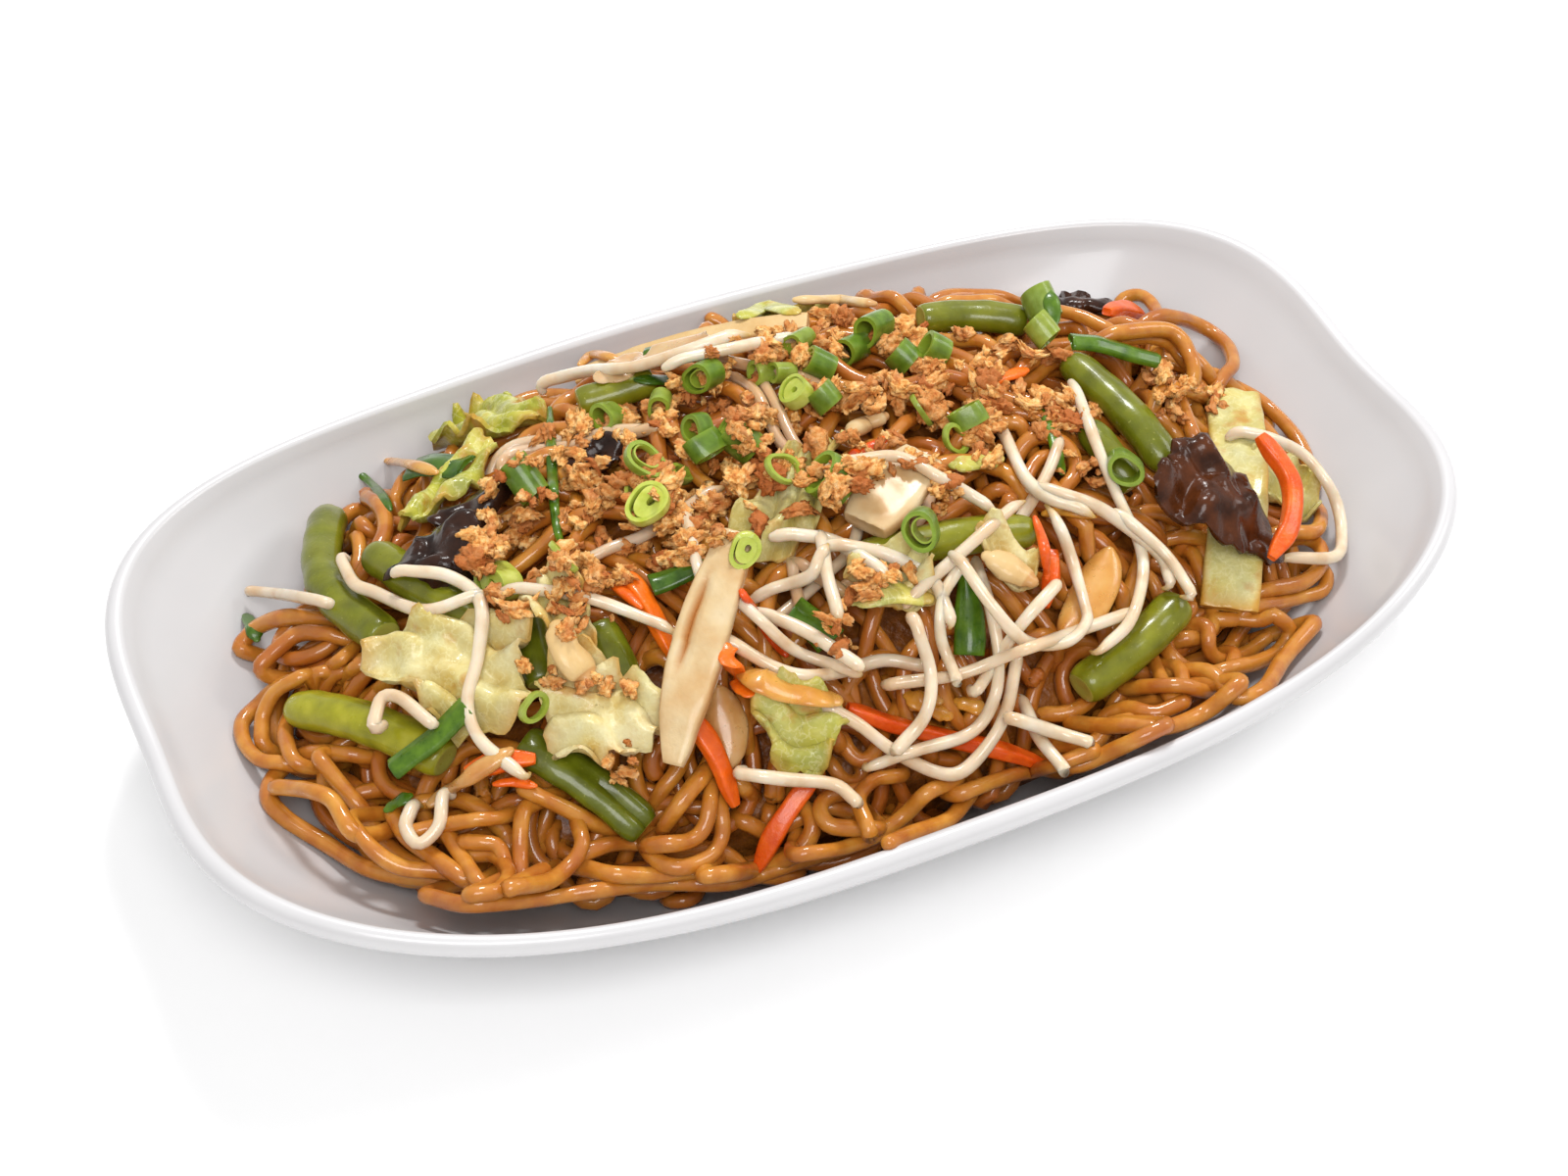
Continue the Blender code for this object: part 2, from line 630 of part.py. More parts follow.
def lay_noodles(trees, loose, rng):
    """Fuses noodles with a long clear run, apart from those already laid, until there are enough."""
    middles = []
    for k in range(NOODLE_TRIES):
        run = strand_path(noodle_flat(k, rng), NOODLE_RADIUS, NOODLE_LIFT, trees)
        if len(run) < NOODLE_LEAST_POINTS:
            continue
        middle = run[len(run) // 2]
        if any((middle - other).length < NOODLE_SPACING for other in middles):
            continue
        swept(f"strand_{k}", run, 2 * NOODLE_RADIUS, 2 * NOODLE_RADIUS, 6, loose, "noodle", tips=0.7)
        middles.append(middle)
        if len(middles) == NOODLES:
            break


def lay_sprouts(trees, loose, rng):
    """Thin pale sprouts in arcs over the front of the heap."""
    for k in range(SPROUTS):
        x = (-75 + 150 * (k + 0.5) / SPROUTS) * MM
        y = rng.uniform(-52, -22) * MM
        heading = rng.uniform(-0.9, 0.9)
        bend = rng.uniform(-2.2, 2.2)
        flat = []
        for t in np.linspace(0, 1, SPROUT_POINTS):
            flat.append(pulled_in(x, y, 0.9))
            x += SPROUT_STEP * math.cos(heading + bend * t)
            y += SPROUT_STEP * math.sin(heading + bend * t)
        run = strand_path(flat, SPROUT_RADIUS, SPROUT_LIFT, trees)
        if len(run) >= SPROUT_LEAST_POINTS:
            swept(f"sprout_{k}", run, 2 * SPROUT_RADIUS, 2 * SPROUT_RADIUS, 5, loose, "noodle", tips=0.7)


def lay_crumbs(trees, loose, rng):
    """Rough lumps of fried crumb over the heap's crown."""
    laid = 0
    for k in range(6 * CRUMBS):
        t = (k * 0.618034) % 1.0
        x = (-72 + 152 * t) * MM
        y = (18 + 14 * t + rng.uniform(-22, 20)) * MM
        radius = CRUMB_RADIUS * rng.uniform(0.75, 1.35)
        place = Vector((x, y, core_top(x, y) + 0.5 * radius))
        if laid == CRUMBS or min(tree.find_nearest(place)[3] for tree in trees) < radius * 1.3 + 2 * GAP:
            continue
        shell = bmesh.new()
        bmesh.ops.create_icosphere(shell, subdivisions=1, radius=radius)
        for vert in shell.verts:
            vert.co *= rng.uniform(0.75, 1.15)
        shell.transform(Matrix.Translation(place) @ Matrix.Rotation(rng.uniform(0, 6), 4, "Z"))
        link(f"crumb_{k}", mesh_from(shell, f"crumb_{k}"), loose, "noodle")
        laid += 1


def lay_small_rings(trees, loose):
    for k, (place, tilt, turn) in enumerate(SMALL_RINGS):
        x, y = place[0] * MM, place[1] * MM
        middle = Vector((x, y, core_top(x, y) + SMALL_RING_RADIUS * 0.5))
        if min(tree.find_nearest(middle)[3] for tree in trees) < SMALL_RING_RADIUS + 3 * GAP:
            continue
        obj = ring(f"ring_{k}", place, tilt, turn, SMALL_RING_RADIUS, SMALL_RING_LENGTH, 0, loose)
        obj.location.z = middle.z


def main():
    clear_scene()
    part = new_collection("stir_fried_noodles")
    platter = build_platter(part)
    core = build_core(part)
    toppings = [rod(*row, part) for row in LOW_RODS]
    toppings += [sheet(*row, part) for row in SHEETS]
    toppings += [rod(*row, part) for row in HIGH_RODS]
    for name, place, tilt, turn, radius, length, lift in RINGS:
        toppings.append(ring(name, place, tilt, turn, radius * MM, length * MM, lift * MM, part))
    trees = lay_in_turn(toppings, platter)

    cutters = new_collection("cutters")
    for obj in toppings:
        link(f"cut_{obj.name}", mesh_from(swollen(obj, CUT_GAP), "cut"), cutters, "noodle")
    combine(core, cutters, "DIFFERENCE")

    loose = new_collection("fused_pieces")
    rng = np.random.default_rng(SEED)
    lay_noodles(trees, loose, rng)
    lay_sprouts(trees, loose, rng)
    lay_crumbs(trees, loose, rng)
    lay_small_rings(trees, loose)
    combine(core, loose, "UNION", "MANIFOLD")
    core.data.materials.clear()
    core.data.materials.append(finish_of("noodle"))


main()
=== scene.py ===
"""Looks of the stir-fried noodles on their platter, in metres, in the part's own frame."""

import math

import bmesh
import bpy
import numpy as np
from mathutils import Matrix, Vector, noise


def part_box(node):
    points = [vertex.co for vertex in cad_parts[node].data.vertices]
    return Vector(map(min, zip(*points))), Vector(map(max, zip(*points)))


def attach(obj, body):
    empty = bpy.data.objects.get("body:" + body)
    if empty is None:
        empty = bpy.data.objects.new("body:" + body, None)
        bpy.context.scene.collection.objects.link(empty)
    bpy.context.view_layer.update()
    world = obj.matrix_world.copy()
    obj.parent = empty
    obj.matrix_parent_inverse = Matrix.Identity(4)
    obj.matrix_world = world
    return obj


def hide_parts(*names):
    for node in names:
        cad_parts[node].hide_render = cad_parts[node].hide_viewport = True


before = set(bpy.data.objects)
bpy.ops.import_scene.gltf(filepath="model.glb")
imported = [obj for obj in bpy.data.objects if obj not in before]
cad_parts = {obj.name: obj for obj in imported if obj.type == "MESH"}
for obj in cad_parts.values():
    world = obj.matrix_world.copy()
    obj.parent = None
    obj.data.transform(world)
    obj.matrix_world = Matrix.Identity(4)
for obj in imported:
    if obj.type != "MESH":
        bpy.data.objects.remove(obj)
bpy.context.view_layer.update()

MM = 0.001
BODY = "root"

# Platter and heap: the part's own sizes
RIM_HALF_LENGTH = 145 * MM
RIM_HALF_WIDTH = 89 * MM
RIM_POWER = 2.7
RIM_HEIGHT = 40 * MM
RIM_WAVES = {2: 3.0 * MM, 4: -1.4 * MM, 6: -1.4 * MM}
WAVE_SPREAD = 0.84
WALL_THICKNESS = 3.4 * MM
LIP_RADIUS = 2.4 * MM
FLOOR_MIDDLE = 3.3 * MM
FLOOR_SHARE = 0.55
WALL_POWER = 1.9
FOOT_SHARES = (0.52, 0.58)
HEAP_CENTRE = (3 * MM, 7 * MM)
HEAP_HALF_LENGTH = 129 * MM
HEAP_HALF_WIDTH = 78 * MM
HEAP_POWER = 2.4
HEAP_EDGE = 17 * MM
HEAP_PEAK = 68 * MM
HEAP_ROUNDING = 0.66
HEAP_BUMP = 1.6 * MM
HEAP_BUMP_LENGTH = 24 * MM
CORE_DEPTH = 3.6 * MM
CORE_LEAST = 4.2 * MM
GAP = 0.3 * MM
SHEET_FOLD = 9 * MM
RING_WALL = 1.1 * MM

# This scene's own core, and the strands over it
BED_DEPTH = 12 * MM
BED_SHARE = 0.86
EDGE_LEAST = 0.86
EDGE_MIDDLE = 0.93
EDGE_BACK = 25 * MM
NOODLE_RADIUS = 2.05 * MM
STRAND_RADIUS = 1.82 * MM
SPROUT_RADIUS = 1.38 * MM
STEP = 1.2 * MM
NOODLE_STIFFNESS = 40
SPROUT_STIFFNESS = 80
CEILING = 78 * MM
TRACE_LIFT = 13 * MM
OPEN = 1.0
SEED = 7

# The bed's mesh, and the shares of the rim's reach that count as within the lip and as outside it
BED_RINGS, BED_SIDES = 44, 150
BED_BUMP = 0.8 * MM
BED_LEAST = 0.2 * MM
WITHIN_LIP = 0.86
OUTSIDE_LIP = 1.03

# How low and how finely the view's rays are followed, and how far the heap sinks round the toppings
LOWEST_SEEN = 3 * MM
SEEN_STEP = 0.7 * MM
ROOM = 2 * MM

# Wandering strands: how sharply they turn inwards, and how far before the end of their share
TURN_INWARD = 0.13 / MM
TURN_BACK = 0.09

# Filling: cells in a block, the least gap, run and trace, and how far a strand may stand over its goal
BLOCK = 8
LEAST_GAP = 0.1 * MM
LEAST_RUN = 24
LEAST_TRACE = 12
OVER_GOAL = 1.2 * MM

# Ends of strands: the pull inwards, how high they may climb, the steps of a long end, the rounding
END_PULL = 12 * MM
END_RISE = 0.6 * MM
LONG_END = 9
ROUND_END = (0.98, 0.8, 0.45)

# Sides of a section: of strands deep in the heap, higher up, and on top, and of flat shreds
HIDDEN_SIDES = 6
FILL_SIDES = 8
TRACE_SIDES = 12
SHRED_SIDES = 16

# Fineness of the platter and the toppings; the platter is drawn in by a hair, inside the part's box
PLATTER_SIDES = 240
PLATTER_FIT = (0.9998, 0.999, 1)
ROD_SPAN = 7 * MM
ROD_STEP = 0.7 * MM
ROD_SIDES = 28
CUT_RINGS = ((0.93, 0.12), (0.6, -0.1))
SHEET_RINGS, SHEET_SECTORS = 22, 80
RING_STEPS, RING_SIDES = 5, 26
RING_ROUND = 0.12

# Crumbs: how many places are tried, where they clump, and how many become lumps and chips
CRUMB_SPOTS = 3200
CLUMPED = -0.12
LUMP_COUNT = 150
CHIP_COUNT = 330
CRUMB_SHARE = 0.92
CRAGS = 0.8

# Strand: radius, how strongly it bends on the plan, stiffness against what it lies on,
# and by how many steps and how far down its ends are led on
STRANDS = {
    "noodle": (STRAND_RADIUS, 0.05 / MM, NOODLE_STIFFNESS, 9, 8 * MM),
    "sprout": (SPROUT_RADIUS, 0.03 / MM, SPROUT_STIFFNESS, 4, 1.6 * MM),
}

# Fill: piece, most starts, depth in mm under the heap's surface, the greatest and the least share of
# the heap's reach, length in mm, strands in a bundle, sides, tones
NOODLE_FILLS = (
    ("noodles_under", 380, 4.2, 0.97, 0.0, (80, 140), (2, 4), HIDDEN_SIDES, (0.3, 1.0)),
    ("noodles_under", 60, 4.0, 0.98, EDGE_LEAST, (60, 120), (2, 4), HIDDEN_SIDES, (0.2, 0.9)),
    ("noodles_middle", 280, 0.4, 0.955, 0.45, (90, 170), (1, 4), FILL_SIDES, (0.0, 0.7)),
    ("noodles_middle", 40, 0.0, 0.975, EDGE_LEAST, (60, 120), (1, 3), FILL_SIDES, (0.0, 0.7)),
    ("noodles_middle", 90, 0.8, 0.6, 0.0, (60, 120), (1, 4), FILL_SIDES, (0.1, 0.8)),
)
SPROUT_FILL = (50, -0.2, 0.62, 0.0, (45, 80), (1, 3), FILL_SIDES, (0.2, 0.8))

# Light: name, place, size, power; and the place that all of them look at
LIGHTS = (
    ("key", (0.35, 0.65, 1.2), (0.3, 0.3), 12),
    ("side", (0.9, -0.1, 0.8), (0.4, 0.4), 3),
    ("front", (-0.35, -0.85, 1.25), (0.8, 0.6), 13),
)
LIT_PLACE = (0, 0, 0.03)
WORLD_STRENGTH = 0.6
FLOOR_SIZE = 6

# View of the photograph: where the camera looks, from how far, and its pixels of focal length
VIEW_TURN = 0.4312
VIEW_HEIGHT = 0.7947
VIEW_TARGET = Vector((2.97, 13.14, 12.93)) * MM
VIEW_DISTANCE = 638.5 * MM
FOCAL_PIXELS = 2824.2
FRAME_WIDTH = 1600
FRAME_HEIGHT = 1200
SENSOR_WIDTH = 36

AHEAD = Vector((
    math.cos(VIEW_HEIGHT) * math.sin(VIEW_TURN),
    math.cos(VIEW_HEIGHT) * math.cos(VIEW_TURN),
    -math.sin(VIEW_HEIGHT),
))
RIGHT = Vector((math.cos(VIEW_TURN), -math.sin(VIEW_TURN), 0))
UP = RIGHT.cross(AHEAD)
EYE = VIEW_TARGET - AHEAD * VIEW_DISTANCE

# Rod: node, kind, width, thickness, lift, tone, path over the heap in mm, as in the part
RODS = (
    # The beans' tones are partly their own green and partly painted light: a high tone paints a bean as lit,
    # a low one as in shade.
    ("bean_bent", "bean", 9, 8, 0, 0.28, ((-89, 60), (-97, 38), (-98, 24), (-93, 5))),
    ("bean_left", "bean", 9, 8, -1, 0.35, ((-87, 29), (-81, 8), (-75, -9))),
    ("bean_front_left", "bean", 9.5, 8, 0, 0.9, ((-114, 6), (-102, -12), (-92, -28))),
    ("bean_front", "bean", 10, 6, 0, 0.1, ((-77, -34), (-68, -45), (-60, -56))),
    ("bean_mid", "bean", 9, 8, -1, 0.2, ((-55, -20), (-54, -31), (-54, -42))),
    ("bean_centre", "bean", 8.5, 7.5, 1, 0.5, ((1, -29), (20, -31), (39, -33))),
    ("bean_right", "bean", 9.5, 8.5, 1, 0.38, ((38, -61), (53, -57), (67, -51))),
    ("bean_back_a", "bean", 8.5, 7.5, 0, 0.22, ((74, 12), (77, -5), (80, -22))),
    ("bean_back_b", "bean", 7.5, 6.5, -1, 0.25, ((66, -10), (67, -18), (69, -26))),
    ("bean_far", "bean", 8, 7, 0, 0.25, ((49, 38), (60, 36), (72, 30))),
    ("bean_far_left", "bean", 8, 7, 0, 0.4, ((-33, 44), (-25, 43), (-16, 42))),
    ("bean_low", "bean", 7.5, 6.5, -1, 0.15, ((-66, -8), (-68, -17), (-69, -25))),
    ("strip_right", "strip", 13, 2.6, 1, 0.45, ((114, 4), (104, -14), (92, -34), (80, -52))),
    ("onion_front", "onion", 10, 3, 0, 0.6, ((-31, -43), (-23, -48), (-15, -52))),
    ("onion_low", "onion", 9, 3, 0, 0.5, ((-37, -41), (-38, -48), (-41, -54))),
    ("onion_right", "onion", 10, 3, 0, 0.8, ((56, -39), (47, -47), (38, -52))),
    ("stem_front", "stem", 11, 4.5, 3, 0.1, ((-24, -23), (-38, -37), (-54, -54))),
    ("stem_mid", "stem", 12, 4, 0, 0.1, ((23, -14), (14, -19), (4, -25))),
    ("stem_far", "stem", 6, 3, 0, 0.5, ((-23, 72), (1, 61), (25, 48))),
    ("carrot_low", "carrot", 4.5, 3, 0, 0.5, ((-45, -46), (-43, -53), (-42, -61))),
    ("carrot_front", "carrot", 4.5, 3, 0, 0.3, ((-24, -60), (-32, -63), (-40, -67))),
    ("carrot_long", "carrot", 4.5, 3, 0, 0.2, ((-13, -53), (-6, -57), (10, -63), (26, -68))),
    ("carrot_left", "carrot", 5, 3, 0, 0.5, ((-90, -36), (-83, -38), (-77, -41))),
    ("carrot_mid", "carrot", 4.5, 3, 1, 0.9, ((-45, -14), (-44, -24), (-43, -34))),
    ("carrot_right", "carrot", 4.5, 3.5, 1, 0.3, ((100, -27), (103, -36), (98, -45), (90, -51))),
    ("carrot_mid_right", "carrot", 4, 3, 0, 0.2, ((43, -37), (40, -42), (36, -47))),
    ("carrot_far", "carrot", 4.5, 3.5, 0, 0.4, ((96, 33), (105, 39), (114, 44))),
    ("leaf_left", "leaf", 8, 2, 0, 0.2, ((-71, 52), (-67, 47), (-62, 40))),
    ("leaf_mid", "leaf", 6, 2.4, 2, 0.2, ((-42, -19), (-34, -20), (-26, -21))),
    ("leaf_centre", "leaf", 6.5, 2, 1, 0.5, ((21, -38), (19, -45), (16, -51))),
    ("leaf_square", "leaf", 8.5, 2, 2, 0.5, ((-17, -35), (-14, -39), (-12, -43))),
    ("leaf_low", "leaf", 5.5, 2.4, 1, 0.6, ((-103, -28), (-94, -28), (-86, -27))),
    ("chive_far", "leaf", 5, 3, 1, 0.6, ((75, 14), (85, 11), (95, 8))),
    ("leaf_far", "leaf", 5, 3, 1, 0.4, ((-16, 46), (-9, 42), (-3, 36))),
)

# Sheet: node, kind, place in mm, turn in degrees, length, width, thickness, crumple, tone
SHEETS = (
    ("ear_left_top", "ear", (-67, 23), 20, 19, 13, 2.0, 3.0, 0.2),
    ("ear_left", "ear", (-76, 12), -15, 22, 15, 2.0, 3.0, 0.1),
    ("ear_right", "ear", (84, -36), -35, 27, 22, 2.4, 4.5, 0.9),
    ("ear_far", "ear", (98, 50), -20, 22, 14, 2.2, 3.5, 0.3),
    ("ear_mid", "ear", (-37, 22), 20, 15, 11, 2.0, 2.0, 0.1),
    ("cabbage_front_left", "cabbage", (-84, -16), -50, 36, 22, 1.6, 4.0, 0.25),
    ("cabbage_front", "cabbage", (-62, -39), -40, 27, 18, 1.6, 4.0, 0.15),
    ("cabbage_centre", "cabbage", (-6, -10), 33, 36, 15, 1.6, 3.5, 0.4),
    ("cabbage_right", "cabbage", (112, -23), 15, 20, 14, 1.5, 3.0, 0.5),
    ("cabbage_far", "cabbage", (28, 70), -10, 24, 12, 1.5, 2.5, 0.8),
    ("leek_left", "cabbage", (-49, 62), -70, 30, 20, 2.4, 3.0, 1.0),
    ("leek_left_low", "cabbage", (-66, 38), -150, 30, 11, 2.0, 1.5, 0.9),
    ("leek_front", "cabbage", (-25, -56), -19, 18, 13, 2.2, 2.0, 0.8),
    ("cabbage_mid", "cabbage", (4, -38), -9, 18, 11, 1.8, 3.5, 0.3),
    ("cabbage_mid_right", "cabbage", (30, -41), -50, 14, 10, 1.6, 2.5, 0.2),
    ("cabbage_pale", "cabbage", (-62, -18), -80, 19, 12, 1.6, 3.0, 0.15),
)

# Ring: node, tilt and turn in degrees, radius, length, as in the part; pale share of its tone
RINGS = (
    ("scallion_left", 55, 200, 4.2, 9, 0.1),
    ("scallion_pale", 25, 300, 5.0, 3, 0.95),
    ("scallion_low", 60, 290, 4.4, 6, 0.8),
    ("scallion_top", 50, 230, 4.6, 8, 0.15),
    ("scallion_front", 50, 250, 4.6, 7, 0.1),
    ("scallion_far", 60, 180, 4.2, 8, 0.25),
)

# Noodles that lie on top, traced on the photograph: its pixels along each
NOODLE_TRACES = (
    (
        (354, 769), (314, 769), (284, 788), (274, 812), (290, 834), (333, 861), (375, 886), (421, 895),
        (461, 898),
    ),
    ((317, 690), (284, 701), (263, 720), (247, 738), (250, 759), (265, 775), (285, 778)),
    ((312, 688), (282, 705), (269, 729), (267, 751)),
    ((241, 664), (254, 681), (275, 702)),
    ((369, 655), (328, 690), (302, 720), (291, 746), (295, 766)),
    ((382, 664), (343, 699), (318, 718)),
    ((403, 660), (401, 690), (377, 710), (351, 714), (326, 716)),
    ((330, 631), (291, 630), (263, 640), (248, 655)),
    ((332, 646), (302, 648), (269, 675)),
    ((328, 777), (351, 805), (373, 831), (390, 857), (416, 879), (440, 887)),
    ((286, 803), (317, 807), (338, 816), (353, 840)),
    ((302, 794), (315, 820), (334, 833)),
    ((360, 842), (382, 868), (410, 885), (450, 889)),
    ((403, 835), (416, 855), (442, 874), (466, 892)),
    ((432, 818), (468, 816), (494, 829), (514, 848), (519, 862)),
    ((425, 848), (458, 841), (488, 836)),
    ((455, 848), (471, 874), (486, 897)),
    ((479, 859), (507, 863), (516, 885), (520, 902)),
    ((440, 915), (480, 923), (553, 917), (606, 909), (674, 901), (747, 901), (819, 878), (862, 865)),
    ((591, 884), (625, 892), (674, 893), (700, 889)),
    ((599, 869), (625, 861), (658, 861)),
    ((531, 893), (531, 850), (536, 826), (556, 814)),
    ((480, 873), (504, 873), (519, 890), (509, 908), (486, 912)),
    ((526, 905), (560, 899), (584, 880), (594, 861), (590, 842)),
    ((541, 808), (577, 825), (616, 844), (657, 850)),
    ((679, 825), (659, 841), (659, 863), (674, 880), (698, 885), (725, 873), (737, 851), (734, 818)),
    ((681, 838), (700, 812), (722, 786)),
    ((669, 862), (703, 858), (720, 841), (726, 805)),
    ((745, 780), (759, 804), (783, 821)),
    ((810, 814), (827, 833), (828, 850), (813, 870), (776, 886), (728, 893)),
    ((822, 871), (861, 865), (898, 850), (924, 831), (946, 809), (970, 799)),
    ((825, 876), (885, 868), (929, 851), (968, 836), (987, 814)),
    ((937, 829), (958, 814), (984, 806)),
    ((887, 845), (849, 843), (837, 828), (844, 814), (871, 807)),
    ((885, 842), (876, 816), (890, 797), (912, 792)),
    ((919, 790), (910, 819)),
    ((1184, 656), (1206, 679), (1237, 691)),
    ((1202, 643), (1213, 665), (1231, 677)),
    ((1175, 670), (1188, 699), (1197, 714), (1208, 708), (1206, 688)),
    ((1233, 645), (1235, 665), (1249, 674), (1273, 665), (1289, 653)),
    ((1211, 700), (1233, 705), (1251, 692), (1259, 674)),
    ((1273, 621), (1300, 616), (1329, 609), (1349, 603), (1354, 589), (1348, 580)),
    ((1302, 556), (1329, 549), (1347, 558), (1347, 578), (1329, 594), (1296, 601)),
    ((1300, 627), (1316, 643), (1304, 665), (1282, 676), (1262, 680)),
    ((1108, 764), (1119, 754), (1128, 732), (1150, 723), (1179, 728), (1203, 718)),
    ((1090, 757), (1106, 766), (1121, 754), (1132, 741), (1168, 732)),
    ((1327, 509), (1347, 522), (1342, 542), (1311, 543)),
    ((1108, 306), (1128, 302), (1140, 316)),
    ((1139, 318), (1146, 305), (1162, 301), (1175, 309), (1182, 325), (1182, 346)),
    ((1188, 322), (1211, 327), (1235, 338), (1253, 354), (1258, 372), (1250, 382)),
    ((1208, 395), (1232, 440), (1252, 495), (1262, 530)),
    ((1222, 392), (1248, 430), (1266, 478), (1274, 520)),
    ((1150, 330), (1190, 345), (1225, 372), (1244, 400)),
    ((1020, 325), (1060, 316), (1100, 322), (1130, 336)),
    ((1262, 395), (1290, 412), (1322, 446), (1340, 486)),
    ((1256, 410), (1288, 436), (1316, 470)),
    ((1240, 690), (1262, 712), (1290, 702), (1310, 672), (1338, 640)),
    ((1150, 740), (1190, 742), (1230, 726), (1262, 700)),
    ((1060, 772), (1096, 782), (1140, 764), (1186, 742)),
    ((990, 806), (1030, 792), (1072, 782), (1110, 768)),
    ((1110, 351), (1139, 347), (1173, 345), (1193, 351), (1206, 365), (1216, 376)),
    ((1139, 340), (1184, 336), (1204, 345), (1216, 367)),
    ((1179, 423), (1202, 445), (1211, 470), (1212, 486)),
    ((1206, 412), (1220, 450), (1234, 484)),
    ((1206, 396), (1229, 407), (1238, 432), (1241, 456)),
    ((953, 765), (962, 740), (966, 712)),
)

# Sprouts that lie on top, from head to tail
SPROUT_TRACES = (
    ((414, 582), (458, 588), (490, 614), (488, 668), (477, 716), (490, 755), (529, 788)),
    ((350, 575), (362, 596), (382, 604), (432, 623), (482, 608)),
    ((322, 612), (292, 607), (258, 603)),
    ((451, 816), (447, 844), (427, 861), (414, 844), (419, 827)),
    ((382, 735), (390, 712), (408, 712), (434, 733)),
    ((702, 535), (714, 586), (729, 622), (732, 674), (713, 725)),
    ((745, 655), (800, 685), (845, 688), (900, 674), (938, 679)),
    ((916, 697), (979, 688), (1034, 667), (1108, 641), (1153, 625)),
    (
        (983, 576), (1012, 618), (1046, 654), (1086, 656), (1108, 636), (1106, 614), (1088, 554),
        (1077, 529),
    ),
    ((996, 576), (1010, 618), (1019, 670), (1014, 714), (990, 748), (934, 766), (889, 782)),
    ((1037, 676), (1028, 721), (1012, 755), (982, 787), (953, 787), (910, 765), (876, 739), (839, 719)),
    ((1026, 446), (1046, 487), (1069, 507), (1096, 516)),
    ((1101, 405), (1121, 459), (1139, 503), (1162, 554), (1166, 589), (1153, 634), (1126, 661)),
    ((1072, 500), (1117, 516), (1150, 538), (1184, 567), (1193, 589)),
    (
        (1271, 441), (1296, 447), (1329, 463), (1351, 488), (1364, 514), (1369, 545), (1362, 568),
        (1318, 569),
    ),
    ((560, 388), (603, 378), (653, 373), (744, 343)),
    ((700, 365), (744, 356), (800, 345)),
    ((810, 545), (850, 552), (892, 576)),
    ((840, 560), (845, 590), (852, 615)),
    ((790, 600), (826, 588), (836, 570)),
    ((975, 585), (962, 610), (960, 650), (975, 690)),
    ((1040, 735), (1080, 748), (1108, 756)),
    ((760, 790), (800, 795), (850, 800), (872, 816)),
    ((940, 600), (985, 560), (1030, 520)),
    ((1000, 700), (1040, 640), (1075, 600)),
    ((742, 602), (775, 632), (812, 664), (868, 684)),
    ((786, 628), (826, 646), (872, 676)),
    ((862, 556), (905, 566), (950, 590), (968, 626)),
    ((866, 470), (916, 466), (960, 488), (1002, 512)),
    ((1046, 720), (1060, 752), (1084, 782)),
    ((936, 640), (950, 690), (944, 730), (918, 762)),
    ((1150, 530), (1190, 566), (1214, 602)),
    ((535, 600), (600, 610), (672, 636)),
)

# Shred that lies loose: kind, width and thickness in mm, tone, its pixels
SHREDS = (
    ("carrot", 5.2, 1.8, 0.9, ((741, 662), (750, 685), (763, 707))),
    ("carrot", 2.4, 1.8, 0.1, ((757, 604), (780, 640), (802, 668))),
    ("carrot", 3.4, 2.0, 0.8, ((996, 393), (1020, 386), (1046, 378))),
    ("carrot", 2.6, 2.0, 0.2, ((868, 463), (890, 456), (904, 447))),
    ("carrot", 2.4, 1.6, 0.5, ((597, 572), (622, 592), (654, 620))),
    ("carrot", 2.2, 1.6, 0.3, ((1056, 528), (1066, 560), (1068, 590))),
    ("carrot", 2.2, 1.6, 0.6, ((505, 800), (525, 798), (546, 802))),
    ("onion", 6.4, 2.0, 0.9, ((757, 684), (800, 704), (852, 714))),
    ("onion", 8.0, 1.6, 0.1, ((616, 384), (670, 362), (742, 346))),
    ("onion", 3.0, 1.8, 0.8, ((592, 372), (606, 362), (630, 366))),
    ("onion", 3.4, 2.4, 0.7, ((932, 722), (940, 712), (958, 716))),
    ("onion", 4.0, 2.6, 0.6, ((440, 820), (480, 792), (520, 766))),
    ("onion", 3.0, 2.0, 0.8, ((395, 470), (420, 474), (445, 482))),
    ("onion", 5.0, 1.8, 1.0, ((928, 710), (946, 720), (966, 730))),
    ("onion", 3.6, 1.8, 1.0, ((1066, 524), (1090, 520), (1116, 526))),
    ("onion", 4.0, 1.6, 1.0, ((978, 716), (990, 720), (1004, 724))),
    ("stem", 6.4, 4.0, 0.5, ((1008, 568), (1030, 580), (1052, 593))),
    ("stem", 4.2, 3.4, 0.2, ((868, 440), (885, 432), (902, 425))),
    ("stem", 7.0, 3.6, 0.6, ((570, 640), (578, 665), (600, 690))),
    ("stem", 3.2, 2.2, 0.5, ((812, 306), (850, 306), (892, 310))),
    ("cabbage", 5.6, 1.6, 0.9, ((757, 322), (785, 314), (812, 318))),
    ("cabbage", 5.0, 1.8, 0.8, ((974, 474), (995, 472), (1018, 468))),
    ("cabbage", 6.6, 2.0, 0.7, ((872, 612), (905, 604), (945, 610))),
    ("leaf", 3.6, 1.2, 0.2, ((650, 387), (675, 388), (702, 392))),
    ("leaf", 2.2, 1.2, 0.5, ((561, 416), (563, 470), (567, 530), (574, 562))),
    ("leaf", 2.6, 1.2, 0.7, ((1066, 420), (1075, 450), (1084, 482))),
    ("leaf", 3.4, 1.4, 0.4, ((251, 628), (258, 640), (262, 652))),
    ("leaf", 2.4, 1.2, 0.3, ((366, 482), (385, 500), (398, 520))),
    ("leaf", 3.0, 1.2, 0.5, ((395, 826), (406, 818), (418, 812))),
    ("leaf", 3.6, 1.2, 0.6, ((1071, 298), (1074, 315), (1076, 330))),
)

SHRED_FINISHES = {
    "carrot": "carrot_sticks",
    "onion": "onion_pieces",
    "leaf": "scallion_leaves",
    "cabbage": "cabbage_leaves",
    "stem": "cabbage_stems",
}

